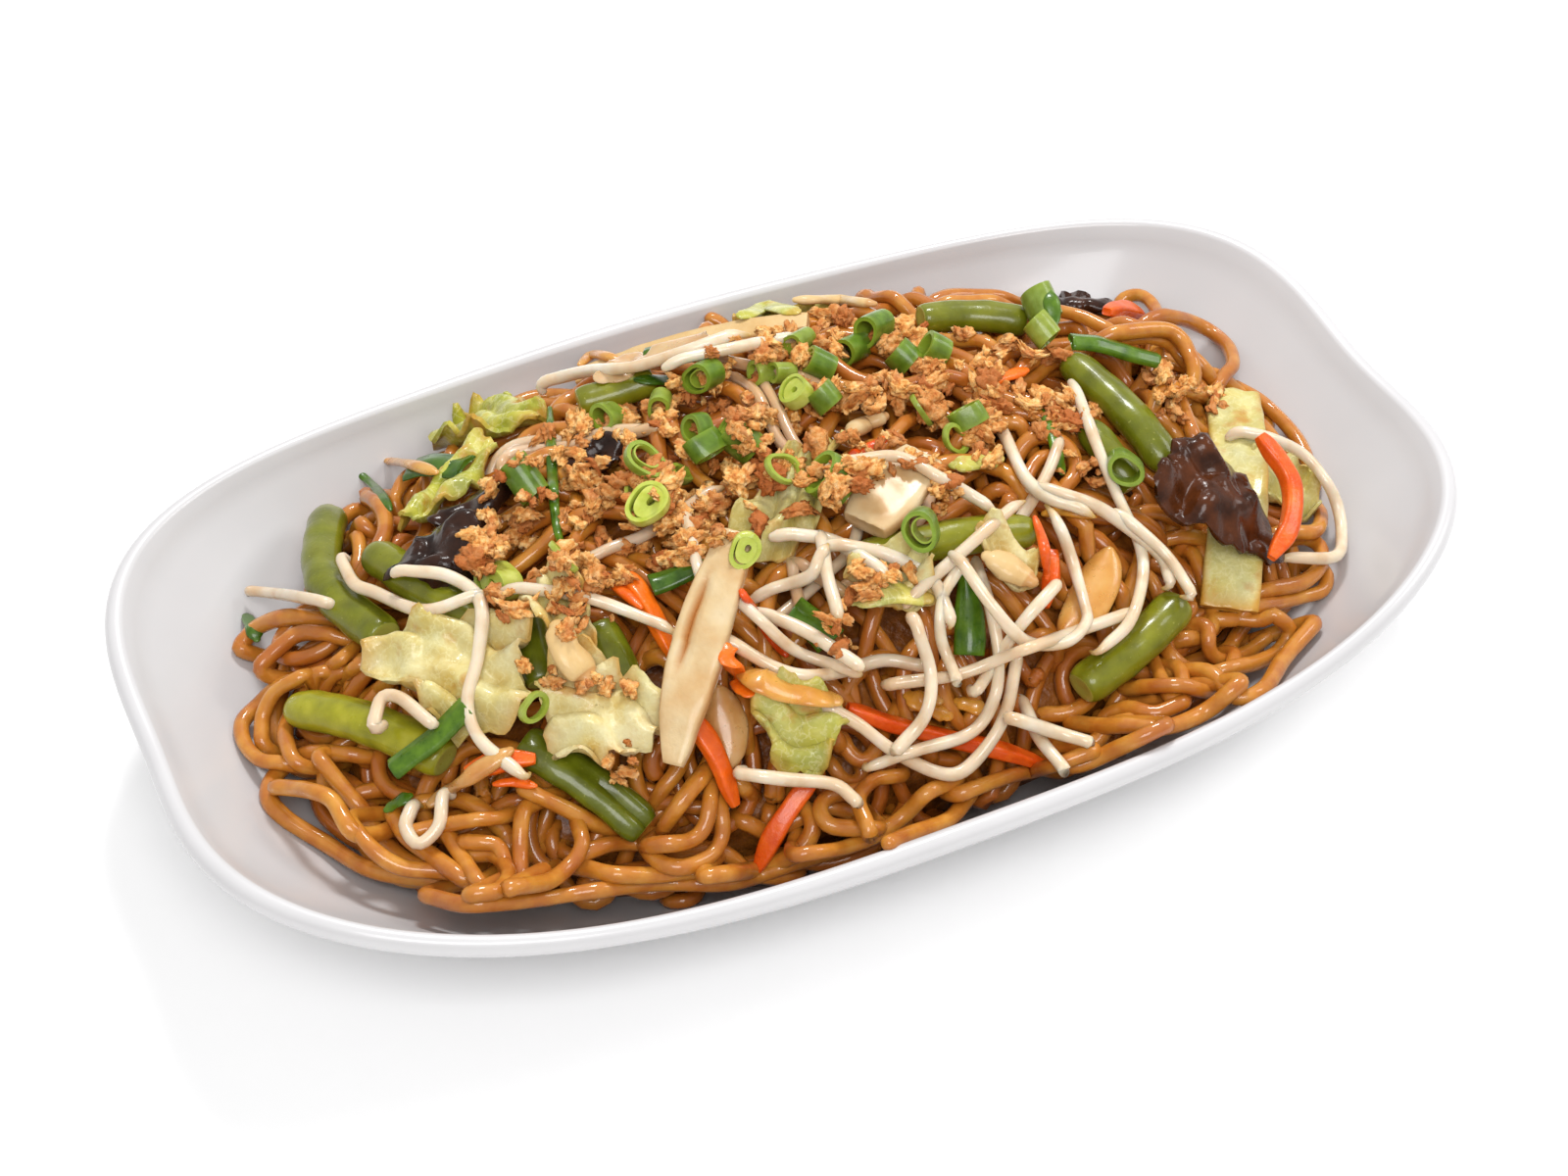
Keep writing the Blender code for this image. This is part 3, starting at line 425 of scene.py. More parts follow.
# Crumbs: the outline of the band that they cover, and single heaps of them
CRUMB_BAND = (
    (488, 515), (500, 470), (560, 440), (620, 415), (700, 375), (760, 335), (830, 318), (900, 325),
    (1000, 330), (1090, 360), (1120, 420), (1105, 455), (1020, 472), (940, 480), (880, 505), (810, 520),
    (760, 540), (715, 570), (660, 580), (620, 600), (560, 610), (500, 640), (480, 590),
)
CRUMB_HEAPS = (
    ((714, 525), 30), ((640, 785), 7), ((590, 622), 16), ((855, 640), 14), ((885, 600), 12),
    ((1009, 806), 12), ((1194, 390), 16), ((1190, 412), 8), ((960, 505), 12), ((615, 700), 8),
    ((560, 688), 6), ((1110, 480), 8), ((500, 555), 18), ((820, 410), 20), ((1075, 420), 18),
    ((1245, 405), 8), ((905, 590), 10),
)

# Small rings of scallion: pixel of the middle, tilt, turn, radius and length in mm, pale share
SMALL_RINGS = (
    ((658, 470), 30, 30, 4.4, 2.2, 0.3),
    ((694, 484), 35, 60, 2.7, 2.2, 0.4),
    ((661, 514), 20, 300, 4.6, 2.2, 0.95),
    ((575, 568), 55, 100, 3.6, 1.2, 0.6),
    ((760, 556), 50, 340, 3.6, 3.0, 0.9),
    ((800, 478), 40, 60, 4.4, 1.2, 0.5),
    ((720, 455), 60, 200, 3.8, 5.0, 0.1),
    ((712, 438), 65, 290, 3.2, 4.5, 0.1),
    ((812, 400), 35, 250, 4.2, 3.0, 0.85),
    ((842, 405), 50, 210, 3.9, 5.0, 0.15),
    ((836, 372), 60, 240, 3.6, 6.0, 0.1),
    ((815, 348), 75, 300, 2.8, 6.0, 0.3),
    ((777, 380), 70, 280, 2.8, 4.5, 0.5),
    ((798, 380), 70, 270, 2.8, 5.0, 0.4),
    ((868, 357), 70, 300, 3.6, 8.0, 0.1),
    ((892, 335), 70, 300, 3.4, 8.0, 0.1),
    ((718, 384), 70, 300, 3.8, 6.0, 0.1),
    ((620, 425), 60, 300, 3.2, 5.5, 0.25),
    ((673, 412), 75, 330, 2.8, 5.0, 0.3),
    ((921, 365), 60, 210, 3.8, 5.0, 0.1),
    ((953, 358), 60, 240, 3.8, 5.0, 0.15),
    ((988, 425), 50, 200, 3.6, 4.5, 0.2),
    ((1063, 337), 60, 200, 3.8, 6.0, 0.4),
    ((545, 722), 65, 20, 3.2, 1.6, 0.5),
    ((940, 418), 55, 80, 3.6, 1.2, 0.4),
    ((975, 448), 60, 30, 3.6, 1.2, 0.4),
    ((940, 540), 60, 320, 4.0, 5.0, 0.1),
    ((1148, 477), 60, 330, 3.8, 6.5, 0.15),
)


def wave(angle):
    return sum(size * np.cos(count * angle) for count, size in RIM_WAVES.items())


def rim_measure(x, y):
    """Below 1 inside the rim's centre line, before its waves, and above 1 outside it."""
    return np.abs(x / RIM_HALF_LENGTH) ** RIM_POWER + np.abs(y / RIM_HALF_WIDTH) ** RIM_POWER


def rim_reach(angle):
    """The rim's centre line, before its waves, in the direction of these angles."""
    across, along = np.cos(angle), np.sin(angle)
    reach = (np.abs(across) ** RIM_POWER + np.abs(along) ** RIM_POWER) ** (-1 / RIM_POWER)
    return RIM_HALF_LENGTH * across * reach, RIM_HALF_WIDTH * along * reach


def wall_middle(share):
    """Height of the wall's middle and its slope, with no waves, at a share of the way out to the rim."""
    out = np.maximum(0.0, (share - FLOOR_SHARE) / (1 - FLOOR_SHARE))
    rise = RIM_HEIGHT - FLOOR_MIDDLE
    slope = rise * WALL_POWER * out ** (WALL_POWER - 1) / (1 - FLOOR_SHARE)
    return FLOOR_MIDDLE + rise * out**WALL_POWER, slope


def platter_ring(angle, share, side, height=None):
    """A ring of the platter's skin: side is 1 on its inner face and -1 on its outer face."""
    x, y = rim_reach(angle)
    length = np.hypot(x, y)
    middle, slope = wall_middle(share)
    steep = np.hypot(length, slope)
    radius = share * length - side * WALL_THICKNESS / 2 * slope / steep
    level = middle + side * WALL_THICKNESS / 2 * length / steep
    swing = wave(angle) * (middle / RIM_HEIGHT) ** 2
    scale = (radius + WAVE_SPREAD * swing) / length
    z = level + swing if height is None else np.full(len(angle), height)
    return np.column_stack((x * scale, y * scale, z))


def lip_ring(angle, turn):
    """A ring of the rolled lip, from its inner side at turn 0 to its outer side at turn 1."""
    x, y = rim_reach(angle)
    length = np.hypot(x, y)
    _, slope = wall_middle(1.0)
    around = math.pi / 2 + np.arctan2(slope, length) - math.pi * turn
    swing = wave(angle)
    scale = (length + LIP_RADIUS * np.cos(around) + WAVE_SPREAD * swing) / length
    return np.column_stack((x * scale, y * scale, RIM_HEIGHT + LIP_RADIUS * np.sin(around) + swing))


def platter_top(x, y, above=0.0):
    """Height over these places of the platter's inner face, or of what keeps a distance above it."""
    share = rim_measure(x, y) ** (1 / RIM_POWER)
    angle = np.arctan2(y / RIM_HALF_WIDTH, x / RIM_HALF_LENGTH)
    length = np.hypot(*rim_reach(angle))
    inner = share
    for _ in range(3):
        middle, slope = wall_middle(inner)
        swing = wave(angle) * (middle / RIM_HEIGHT) ** 2
        inner = share - WAVE_SPREAD * swing / length
    return middle + swing + (WALL_THICKNESS / 2 + above) * np.hypot(1, slope / length)


def heap_share(x, y):
    """How far out on the heap a place lies: 0 at its middle and 1 at its edge."""
    across = np.abs(x - HEAP_CENTRE[0]) / HEAP_HALF_LENGTH
    along = np.abs(y - HEAP_CENTRE[1]) / HEAP_HALF_WIDTH
    return (across**HEAP_POWER + along**HEAP_POWER) ** (1 / HEAP_POWER)


def noise_at(x, y, z, length):
    """Smooth noise, from -1 to 1, at each place, in bumps of about this length."""
    flat = np.broadcast_arrays(x, y, z)
    rows = np.column_stack([part.ravel() for part in flat]) / length
    return np.array([noise.noise(row) for row in rows.tolist()]).reshape(flat[0].shape)


def heap_top(x, y):
    """Height of the heap's visible surface, as the part has it."""
    inside = np.maximum(0.0, 1 - heap_share(x, y) ** 2)
    dome = HEAP_EDGE + (HEAP_PEAK - HEAP_EDGE) * inside**HEAP_ROUNDING
    bump = HEAP_BUMP * noise_at(x, y, 0.0, HEAP_BUMP_LENGTH)
    return np.maximum(dome + bump, platter_top(x, y, 2 * NOODLE_RADIUS))


def core_top(x, y):
    return np.maximum(heap_top(x, y) - CORE_DEPTH, platter_top(x, y, CORE_LEAST))


def smooth_path(points, step):
    """Places a step apart on a smooth curve through the given points, in two or three dimensions."""
    points = np.asarray(points, float)
    ends = np.vstack((2 * points[0] - points[1], points, 2 * points[-1] - points[-2]))
    t = np.linspace(0, 1, 12, endpoint=False)[:, None]
    fine = []
    for a, b, c, d in zip(ends, ends[1:], ends[2:], ends[3:]):
        second, third = a * 2 - b * 5 + c * 4 - d, b * 3 - a - c * 3 + d
        fine.append((b * 2 + (c - a) * t + second * t**2 + third * t**3) / 2)
    fine = np.vstack(fine + [points[-1:]])
    steps = np.concatenate(([0], np.cumsum(np.linalg.norm(np.diff(fine, axis=0), axis=1))))
    places = np.linspace(0, steps[-1], max(4, round(steps[-1] / step) + 1))
    return np.column_stack([np.interp(places, steps, column) for column in fine.T])


def place_of(pixels, heights):
    """Where the rays through these pixels of the photograph reach these heights, on the plan."""
    pixels = np.atleast_2d(pixels)
    ahead, right, up, eye = (np.array(v) for v in (AHEAD, RIGHT, UP, EYE))
    rays = ahead * FOCAL_PIXELS + np.outer(pixels[:, 0] - FRAME_WIDTH / 2, right)
    rays = rays + np.outer(FRAME_HEIGHT / 2 - pixels[:, 1], up)
    reach = (heights - eye[2]) / rays[:, 2]
    return eye[:2] + rays[:, :2] * reach[:, None]


class Field:
    """The height of what has been laid so far, over a fine grid on the plan."""

    cell = 0.5 * MM
    low = np.array((-151.0, -96.0)) * MM
    size = (605, 385)

    def __init__(self):
        i, j = np.meshgrid(range(self.size[0]), range(self.size[1]), indexing="ij")
        self.x = self.low[0] + i * self.cell
        self.y = self.low[1] + j * self.cell
        self.share = heap_share(self.x, self.y)
        outside = rim_measure(self.x, self.y) > OUTSIDE_LIP
        lip = RIM_HEIGHT + LIP_RADIUS + wave(np.arctan2(self.y / RIM_HALF_WIDTH, self.x / RIM_HALF_LENGTH))
        self.goal = heap_top(self.x, self.y)
        bed = np.where(self.share < BED_SHARE, self.goal - BED_DEPTH, 0)
        self.dish = np.minimum(platter_top(self.x, self.y), lip)
        self.dish[outside] = 0
        self.top = np.maximum(self.dish, bed)
        self.roof = np.full(self.size, OPEN)

    def cells(self, flat, radius):
        reach = int(radius / self.cell)
        di, dj = np.meshgrid(range(-reach, reach + 1), range(-reach, reach + 1), indexing="ij")
        square = radius**2 - (di**2 + dj**2) * self.cell**2
        keep = square > 0
        caps = np.sqrt(square[keep])
        middle = np.rint((flat - self.low) / self.cell).astype(int)
        i = np.clip(middle[:, :1] + di[keep], 0, self.size[0] - 1)
        j = np.clip(middle[:, 1:] + dj[keep], 0, self.size[1] - 1)
        return i, j, caps

    def rest(self, flat, radius):
        """The heights at which a ball of this radius rests at these places, and fits under the toppings."""
        i, j, caps = self.cells(flat, radius)
        return (self.top[i, j] + caps).max(1), (self.roof[i, j] - caps).min(1)

    def seen(self, pixels, radius):
        """The heights at which balls of this radius, sent down the view's rays, first meet what is laid."""
        levels = np.arange(CEILING, LOWEST_SEEN, -SEEN_STEP)
        flat = place_of(np.repeat(pixels, len(levels), axis=0), np.tile(levels, len(pixels)))
        met = self.rest(flat, radius)[0].reshape(len(pixels), len(levels)) >= levels
        return levels[met.argmax(1)]

    def at(self, grid, flat):
        i, j, _ = self.cells(flat, self.cell * 1.1)
        return grid[i[:, 0], j[:, 0]]

    def lay(self, points, radius):
        i, j, caps = self.cells(points[:, :2], radius)
        np.maximum.at(self.top, (i, j), points[:, 2:] + caps)

    def make_room(self):
        """Lowers the heap's surface round the toppings, so that they show over the strands beside them."""
        near = (self.roof < OPEN).astype(float)
        for axis in (0, 1):
            for shift in (4, 8):
                near = (near + np.roll(near, shift, axis) + np.roll(near, -shift, axis)) / 3
        self.goal = self.goal - ROOM * np.clip(near * 2, 0, 1)

    def cover(self, places, as_roof=False):
        """Takes in the places of a topping's surface."""
        i, j, _ = self.cells(places[:, :2], self.cell * 1.5)
        z = places[:, 2:] + np.zeros(i.shape)
        if as_roof:
            np.minimum.at(self.roof, (i, j), z)
        else:
            np.maximum.at(self.top, (i, j), z)


def sagged(rest, roof, stiffness):
    """The heights of a strand that rests on what lies below it, and bends no more sharply than it can."""
    z = np.minimum(rest, roof)
    base = z.copy()
    for _ in range(stiffness):
        z = np.maximum(base, eased(z, 1))
    return eased(np.minimum(z, roof), 4)


def eased(values, times):
    """Values along a path, each drawn towards its neighbours this many times."""
    for _ in range(times):
        wide = np.concatenate((values[:1], values, values[-1:]))
        values = (wide[:-2] + 2 * wide[1:-1] + wide[2:]) / 4
    return values


def eased_path(flat, times):
    return np.column_stack([eased(column, times) for column in flat.T])


def laid(field, flat, radius, stiffness):
    rest, roof = field.rest(flat, radius)
    return np.column_stack((flat, sagged(rest, roof, stiffness)))


def traced(field, pixels, radius, stiffness):
    """A strand along its pixels on the photograph, at the height where it rests."""
    fine = smooth_path(pixels, STEP * FOCAL_PIXELS / VIEW_DISTANCE)
    z = eased(field.seen(fine, radius), 6)
    for _ in range(3):
        flat = place_of(fine, z)
        rest, roof = field.rest(flat, radius)
        highest = np.minimum(field.at(field.goal, flat) + TRACE_LIFT, CEILING) - radius
        z = sagged(np.minimum(rest, highest), roof, stiffness)
    return np.column_stack((place_of(fine, z), z))


def wander(start, heading, length, bend, most, rng):
    """A looping path on the plan, in steps, that turns back at the heap's edge."""
    x, y = start
    turn = rng.normal(0, bend)
    path = []
    for _ in range(int(length / STEP)):
        path.append((x, y))
        turn = 0.95 * turn + rng.normal(0, bend * 0.3)
        if heap_share(x, y) > most:
            inward = math.atan2(HEAP_CENTRE[1] - y, HEAP_CENTRE[0] - x)
            off = (inward - heading + math.pi) % math.tau - math.pi
            turn = math.copysign(TURN_INWARD, off)
        heading += turn * STEP
        x += STEP * math.cos(heading)
        y += STEP * math.sin(heading)
    return np.array(path)


def edge_path(start, way, length, rng):
    """A path on the plan that follows the heap's edge one way round, swinging a little in and out."""
    x, y = start
    phase = rng.uniform(0, 6)
    path = []
    for k in range(int(length / STEP)):
        path.append((x, y))
        across = (x - HEAP_CENTRE[0]) / HEAP_HALF_LENGTH
        along = (y - HEAP_CENTRE[1]) / HEAP_HALF_WIDTH
        out_x = math.copysign(abs(across) ** (HEAP_POWER - 1), across) / HEAP_HALF_LENGTH
        out_y = math.copysign(abs(along) ** (HEAP_POWER - 1), along) / HEAP_HALF_WIDTH
        swing = 0.5 * math.sin(k * STEP / (8 * MM) + phase) + 6 * (heap_share(x, y) - EDGE_MIDDLE)
        heading = math.atan2(out_y, out_x) + way * (math.pi / 2 + swing)
        x += STEP * math.cos(heading)
        y += STEP * math.sin(heading)
    return np.array(path)


def unit(vectors, least=1e-12):
    """Vectors at length 1; the least keeps one of no length from being divided by nothing."""
    return vectors / (np.linalg.norm(vectors, axis=-1)[..., None] + least)


def normals_of(flat):
    along = unit(np.gradient(flat, axis=0))
    return np.column_stack((-along[:, 1], along[:, 0]))


class Pieces:
    """Many small shapes in one mesh. Every point has a look: the tone of its piece, and a mark."""

    def __init__(self):
        self.points, self.corners, self.sizes, self.looks = [], [], [], []
        self.count = 0

    def add(self, points, faces, looks):
        """faces is a list of arrays, one row of points for each face, together a closed shape."""
        volume = 0
        for rows in faces:
            first = points[rows[:, 0]]
            for k in range(1, rows.shape[1] - 1):
                volume += np.sum(first * np.cross(points[rows[:, k]], points[rows[:, k + 1]]))
        if volume < 0:
            faces = [rows[:, ::-1] for rows in faces]
        self.points.append(points)
        self.looks.append(np.broadcast_to(np.asarray(looks, float), (len(points), 2)))
        for rows in faces:
            self.corners.append(rows.ravel() + self.count)
            self.sizes.append(np.full(len(rows), rows.shape[1]))
        self.count += len(points)

    def build(self, name, material, slot, replaces, sharp=None):
        mesh = bpy.data.meshes.new(name)
        points = np.vstack(self.points)
        corners = np.concatenate(self.corners)
        sizes = np.concatenate(self.sizes)
        mesh.vertices.add(len(points))
        mesh.vertices.foreach_set("co", points.astype(np.float32).ravel())
        mesh.loops.add(len(corners))
        mesh.loops.foreach_set("vertex_index", corners.astype(np.int32))
        mesh.polygons.add(len(sizes))
        starts = np.concatenate(([0], np.cumsum(sizes)[:-1]))
        mesh.polygons.foreach_set("loop_start", starts.astype(np.int32))
        mesh.update(calc_edges=True)
        looks = mesh.attributes.new("look", "FLOAT_COLOR", "POINT")
        colours = np.column_stack((np.vstack(self.looks), np.zeros(len(points)), np.ones(len(points))))
        looks.data.foreach_set("color", colours.astype(np.float32).ravel())
        mesh.shade_smooth()
        if sharp:
            mesh.set_sharp_from_angle(angle=math.radians(sharp))
        obj = bpy.data.objects.new(name, mesh)
        bpy.context.scene.collection.objects.link(obj)
        mesh.materials.append(material)
        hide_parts(replaces)
        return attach(obj, BODY)


def grid_faces(rows, columns):
    """The four-sided faces of a grid of points, whose rows close on themselves."""
    i, j = np.meshgrid(range(rows - 1), range(columns), indexing="ij")
    i, j = i.ravel(), j.ravel()
    k = (j + 1) % columns
    return np.column_stack((i * columns + j, i * columns + k, (i + 1) * columns + k, (i + 1) * columns + j))


def skin_faces(rows, columns):
    """The faces of a closed skin: a grid, with one more face over its first and its last row."""
    first = np.arange(columns)
    return [grid_faces(rows, columns), first[None, ::-1], first[None, :] + (rows - 1) * columns]


def slab(top, bottom):
    """Points and faces of a closed sheet, from the grids of its upper and its lower side."""
    rows, columns = top.shape[:2]
    count = rows * columns
    first = np.arange(columns)
    edge = first + (rows - 1) * columns
    rim = np.column_stack((edge, np.roll(edge, -1), np.roll(edge, -1) + count, edge + count))
    upper = grid_faces(rows, columns)
    faces = [upper, upper[:, ::-1] + count, rim, first[None, ::-1], first[None, :] + count]
    return np.vstack((top.reshape(-1, 3), bottom.reshape(-1, 3))), faces


def looks_of(tone, mark, shape):
    """Tone and mark for every point of a grid."""
    tone, mark, _ = np.broadcast_arrays(tone, mark, np.empty(shape))
    return np.dstack((tone, mark)).reshape(-1, 2)


def frames_of(path):
    """Directions along, across and over a path in space."""
    along = unit(np.gradient(path, axis=0))
    across = unit(np.cross(along, (0, 0, 1)), 1e-9)
    return along, across, np.cross(across, along)


def held(values):
    """Values along a path, kept on for the rings of its rounded ends."""
    more = len(ROUND_END)
    return np.concatenate([values[:1]] * more + [values] + [values[-1:]] * more)


def add_tube(pieces, path, radius, sides, tone, mark=0.0, flat=1.0):
    """A strand of round section, with rounded ends. Radius and mark may change along it."""
    radius = np.broadcast_to(radius, len(path))
    mark = np.broadcast_to(mark, len(path))
    along, across, over = frames_of(path)
    heads = [path[0] - along[0] * radius[0] * k for k in ROUND_END]
    tails = [path[-1] + along[-1] * radius[-1] * k for k in reversed(ROUND_END)]
    caps = [math.sqrt(1 - k * k) for k in ROUND_END]
    radius = held(radius) * np.concatenate((caps, np.ones(len(path)), caps[::-1]))
    path = np.vstack(heads + [path] + tails)
    angle = np.linspace(0, math.tau, sides, endpoint=False)
    sideways = np.cos(angle)[None, :, None] * held(across)[:, None, :]
    upwards = flat * np.sin(angle)[None, :, None] * held(over)[:, None, :]
    points = (path[:, None, :] + radius[:, None, None] * (sideways + upwards)).reshape(-1, 3)
    looks = looks_of(tone, held(mark)[:, None], (len(path), sides))
    pieces.add(points, skin_faces(len(path), sides), looks)


def raise_of(node, height):
    """How far the part lifted a topping above the height that its rule gives, to clear its neighbours."""
    places = np.array([v.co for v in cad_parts[node].data.vertices])
    return float(np.mean(places[:, 2] - height(places[:, 0], places[:, 1])))


# Materials

# Spots: size in mm, detail, then places with their colours. Stains: size in mm, detail, then the
# places where they start and are full, or where they start, peak and end.
# Finish: the ground's spots; the layers over it, each with where it shows (tone, mark or stains), how
# strongly, and its colour or spots; roughness as size, detail, least and most; relief as size, detail,
# depth in mm and strength; coat and its roughness; softness with its reach in red, green and blue.
FINISHES = {
    "platter_glaze": {
        "ground": (30, 2, (0.3, (0.55, 0.54, 0.545)), (0.7, (0.58, 0.57, 0.575))),
        "rough": (30, 2, 0.28, 0.38),
        "relief": (9, 2, 0.08, 0.4),
        "coat": (0.35, 0.12),
    },
    "noodle_strands": {
        "ground": (
            5, 4, (0.28, (0.40, 0.115, 0.007)), (0.5, (0.52, 0.195, 0.016)), (0.75, (0.62, 0.29, 0.04)),
        ),
        "layers": (
            ("tone", 1, (0.35, 0.09, 0.006)),
            ((13, 3, 0.5, 0.72), 0.8, (0.33, 0.08, 0.008)),
        ),
        "rough": (2.4, 3, 0.42, 0.65),
        "relief": (1.8, 4, 0.3, 0.6),
        "coat": (0.7, 0.06),
        "soft": (0.12, (1.0, 0.42, 0.1)),
    },
    "sauce_and_shade_bed": {
        # Sauce browns, made darker as painted shade for the gaps between the strands.
        "ground": (4, 5, (0.3, (0.12, 0.03, 0.003)), (0.7, (0.34, 0.11, 0.013))),
        "rough": (3, 3, 0.25, 0.5),
        "relief": (3, 4, 1.2, 0.9),
        "coat": (0.15, 0.2),
    },
    "bean_sprouts": {
        "ground": (
            7, 4, (0.3, (0.66, 0.47, 0.28)), (0.5, (0.78, 0.66, 0.48)), (0.75, (0.84, 0.77, 0.64)),
        ),
        "layers": (
            ("tone", 1, (0.52, 0.24, 0.07)),
            ((14, 3, 0.52, 0.7), 0.6, (0.70, 0.44, 0.2)),
            ("mark", 1, (0.52, 0.30, 0.03)),
        ),
        "rough": (2, 3, 0.3, 0.45),
        "relief": (5, 1, 0.1, 0.2),
        "coat": (0.7, 0.05),
        "soft": (0.4, (1.0, 0.6, 0.35)),
        "clear": 0.12,
    },
    "fried_crumbs": {
        "ground": (
            1.7, 5, (0.3, (0.42, 0.12, 0.02)), (0.43, (0.66, 0.27, 0.055)),
            (0.56, (0.83, 0.47, 0.16)), (0.75, (0.93, 0.69, 0.37)),
        ),
        "grain": 0.65,
        "layers": (
            ((6, 2, 0.56, 0.7), 0.55, (0.42, 0.09, 0.02)),
            ("tone", 1, (0.42, 0.115, 0.022)),
        ),
        "rough": (1.5, 3, 0.45, 0.8),
        "relief": (0.6, 5, 0.5, 0.9),
        "soft": (0.1, (1.0, 0.5, 0.2)),
    },
    "green_beans": {
        # Ground: a bean's green as in shade; tone layer: its green as in light, so the tone paints light and
        # shade as well as the bean's own colour.
        "ground": (
            5, 4, (0.3, (0.045, 0.06, 0.002)), (0.6, (0.10, 0.125, 0.004)), (0.85, (0.16, 0.17, 0.01)),
        ),
        "layers": (
            ("tone", 1, (
                6, 4, (0.3, (0.22, 0.21, 0.006)), (0.55, (0.34, 0.32, 0.012)), (0.8, (0.48, 0.43, 0.035)),
            )),
            ((0.8, 2, 0.69, 0.76), 0.4, (0.50, 0.48, 0.12)),
            ("mark", 1, (0.36, 0.36, 0.06)),
        ),
        "rough": (2, 3, 0.2, 0.45),
        "relief": (0.8, 4, 0.14, 0.5),
        "coat": (0.35, 0.1),
        "soft": (0.05, (0.5, 1.0, 0.1)),
    },
    "wood_ear": {
        "ground": (5, 4, (0.35, (0.008, 0.004, 0.003)), (0.7, (0.035, 0.014, 0.008))),
        "layers": (
            ("tone", 1, (5, 4, (0.35, (0.03, 0.007, 0.001)), (0.7, (0.10, 0.026, 0.006)))),
        ),
        "rough": (1.6, 3, 0.14, 0.32),
        "relief": (1.2, 4, 0.3, 0.5),
        "coat": (0.25, 0.04),
        "specular": 0.16,
    },
    "cabbage_leaves": {
        "ground": (
            7, 4, (0.3, (0.58, 0.38, 0.11)), (0.5, (0.68, 0.55, 0.26)), (0.7, (0.76, 0.69, 0.43)),
        ),
        "layers": (
            ("tone", 1, (
                6, 4, (0.3, (0.22, 0.25, 0.01)), (0.55, (0.42, 0.42, 0.04)), (0.8, (0.62, 0.58, 0.13)),
            )),
            ((2.6, 5, 0.46, 0.5, 0.54), 0.3, (0.80, 0.76, 0.44)),
            ((8, 5, 0.57, 0.68), 0.75, (0.46, 0.20, 0.02)),
            ("mark", 1, (0.50, 0.25, 0.03)),
        ),
        "rough": (2, 3, 0.35, 0.6),
        "relief": (3.2, 5, 1.0, 0.7),
        "coat": (0.35, 0.1),
        "soft": (0.04, (0.9, 1.0, 0.3)),
    },
    "cabbage_stems": {
        "ground": (
            9, 3, (0.3, (0.52, 0.31, 0.13)), (0.55, (0.60, 0.45, 0.25)), (0.8, (0.67, 0.56, 0.37)),
        ),
        "layers": (
            ("tone", 1, (0.64, 0.40, 0.13)),
            ("mark", 1, (0.42, 0.14, 0.015)),
        ),
        "rough": (2, 3, 0.4, 0.6),
        "relief": (4, 5, 0.8, 0.6),
        "coat": (0.3, 0.15),
        "soft": (0.1, (1.0, 0.8, 0.4)),
    },
    "carrot_sticks": {
        "ground": (
            4, 4, (0.3, (0.55, 0.035, 0.002)), (0.55, (0.70, 0.075, 0.004)), (0.8, (0.84, 0.16, 0.016)),
        ),
        "layers": (
            ("tone", 0.6, (0.92, 0.22, 0.006)),
        ),
        "rough": (2, 3, 0.22, 0.45),
        "relief": (0.8, 4, 0.3, 0.6),
        "coat": (0.3, 0.12),
        "soft": (0.15, (1.0, 0.3, 0.06)),
    },
    "onion_pieces": {
        "ground": (7, 4, (0.3, (0.62, 0.34, 0.12)), (0.7, (0.80, 0.58, 0.34))),
        "layers": (
            ("tone", 1, (
                7, 4, (0.3, (0.60, 0.21, 0.014)), (0.55, (0.78, 0.36, 0.04)), (0.8, (0.86, 0.50, 0.12)),
            )),
        ),
        "rough": (2, 3, 0.2, 0.4),
        "relief": (1.2, 4, 0.12, 0.4),
        "coat": (0.4, 0.08),
        "soft": (0.2, (1.0, 0.55, 0.2)),
        "clear": 0.3,
    },
    "scallion_leaves": {
        "ground": (3, 4, (0.3, (0.012, 0.05, 0.002)), (0.7, (0.045, 0.11, 0.003))),
        "layers": (
            ("tone", 1, (3, 4, (0.3, (0.05, 0.12, 0.003)), (0.7, (0.13, 0.24, 0.01)))),
        ),
        "rough": (1.5, 3, 0.2, 0.42),
        "relief": (0.6, 4, 0.12, 0.5),
        "coat": (0.3, 0.12),
    },
    "scallion_rings": {
        "ground": (
            2.5, 4, (0.3, (0.024, 0.085, 0.001)), (0.6, (0.055, 0.15, 0.003)), (0.85, (0.12, 0.235, 0.008)),
        ),
        "layers": (
            ("tone", 1, (2.5, 4, (0.3, (0.44, 0.47, 0.04)), (0.7, (0.66, 0.68, 0.17)))),
            ("mark", 1, (0.30, 0.40, 0.03)),
        ),
        "rough": (1.5, 3, 0.25, 0.45),
        "relief": (0.5, 3, 0.1, 0.5),
        "coat": (0.3, 0.12),
        "soft": (0.08, (0.5, 1.0, 0.1)),
    },
    "floor": {
        "ground": (400, 2, (0.3, (0.93, 0.93, 0.93)), (0.7, (0.95, 0.95, 0.95))),
        "rough": (400, 2, 0.6, 0.7),
    },
}
SPECULAR = 0.28
SOFT_SCALE = 1.5 * MM


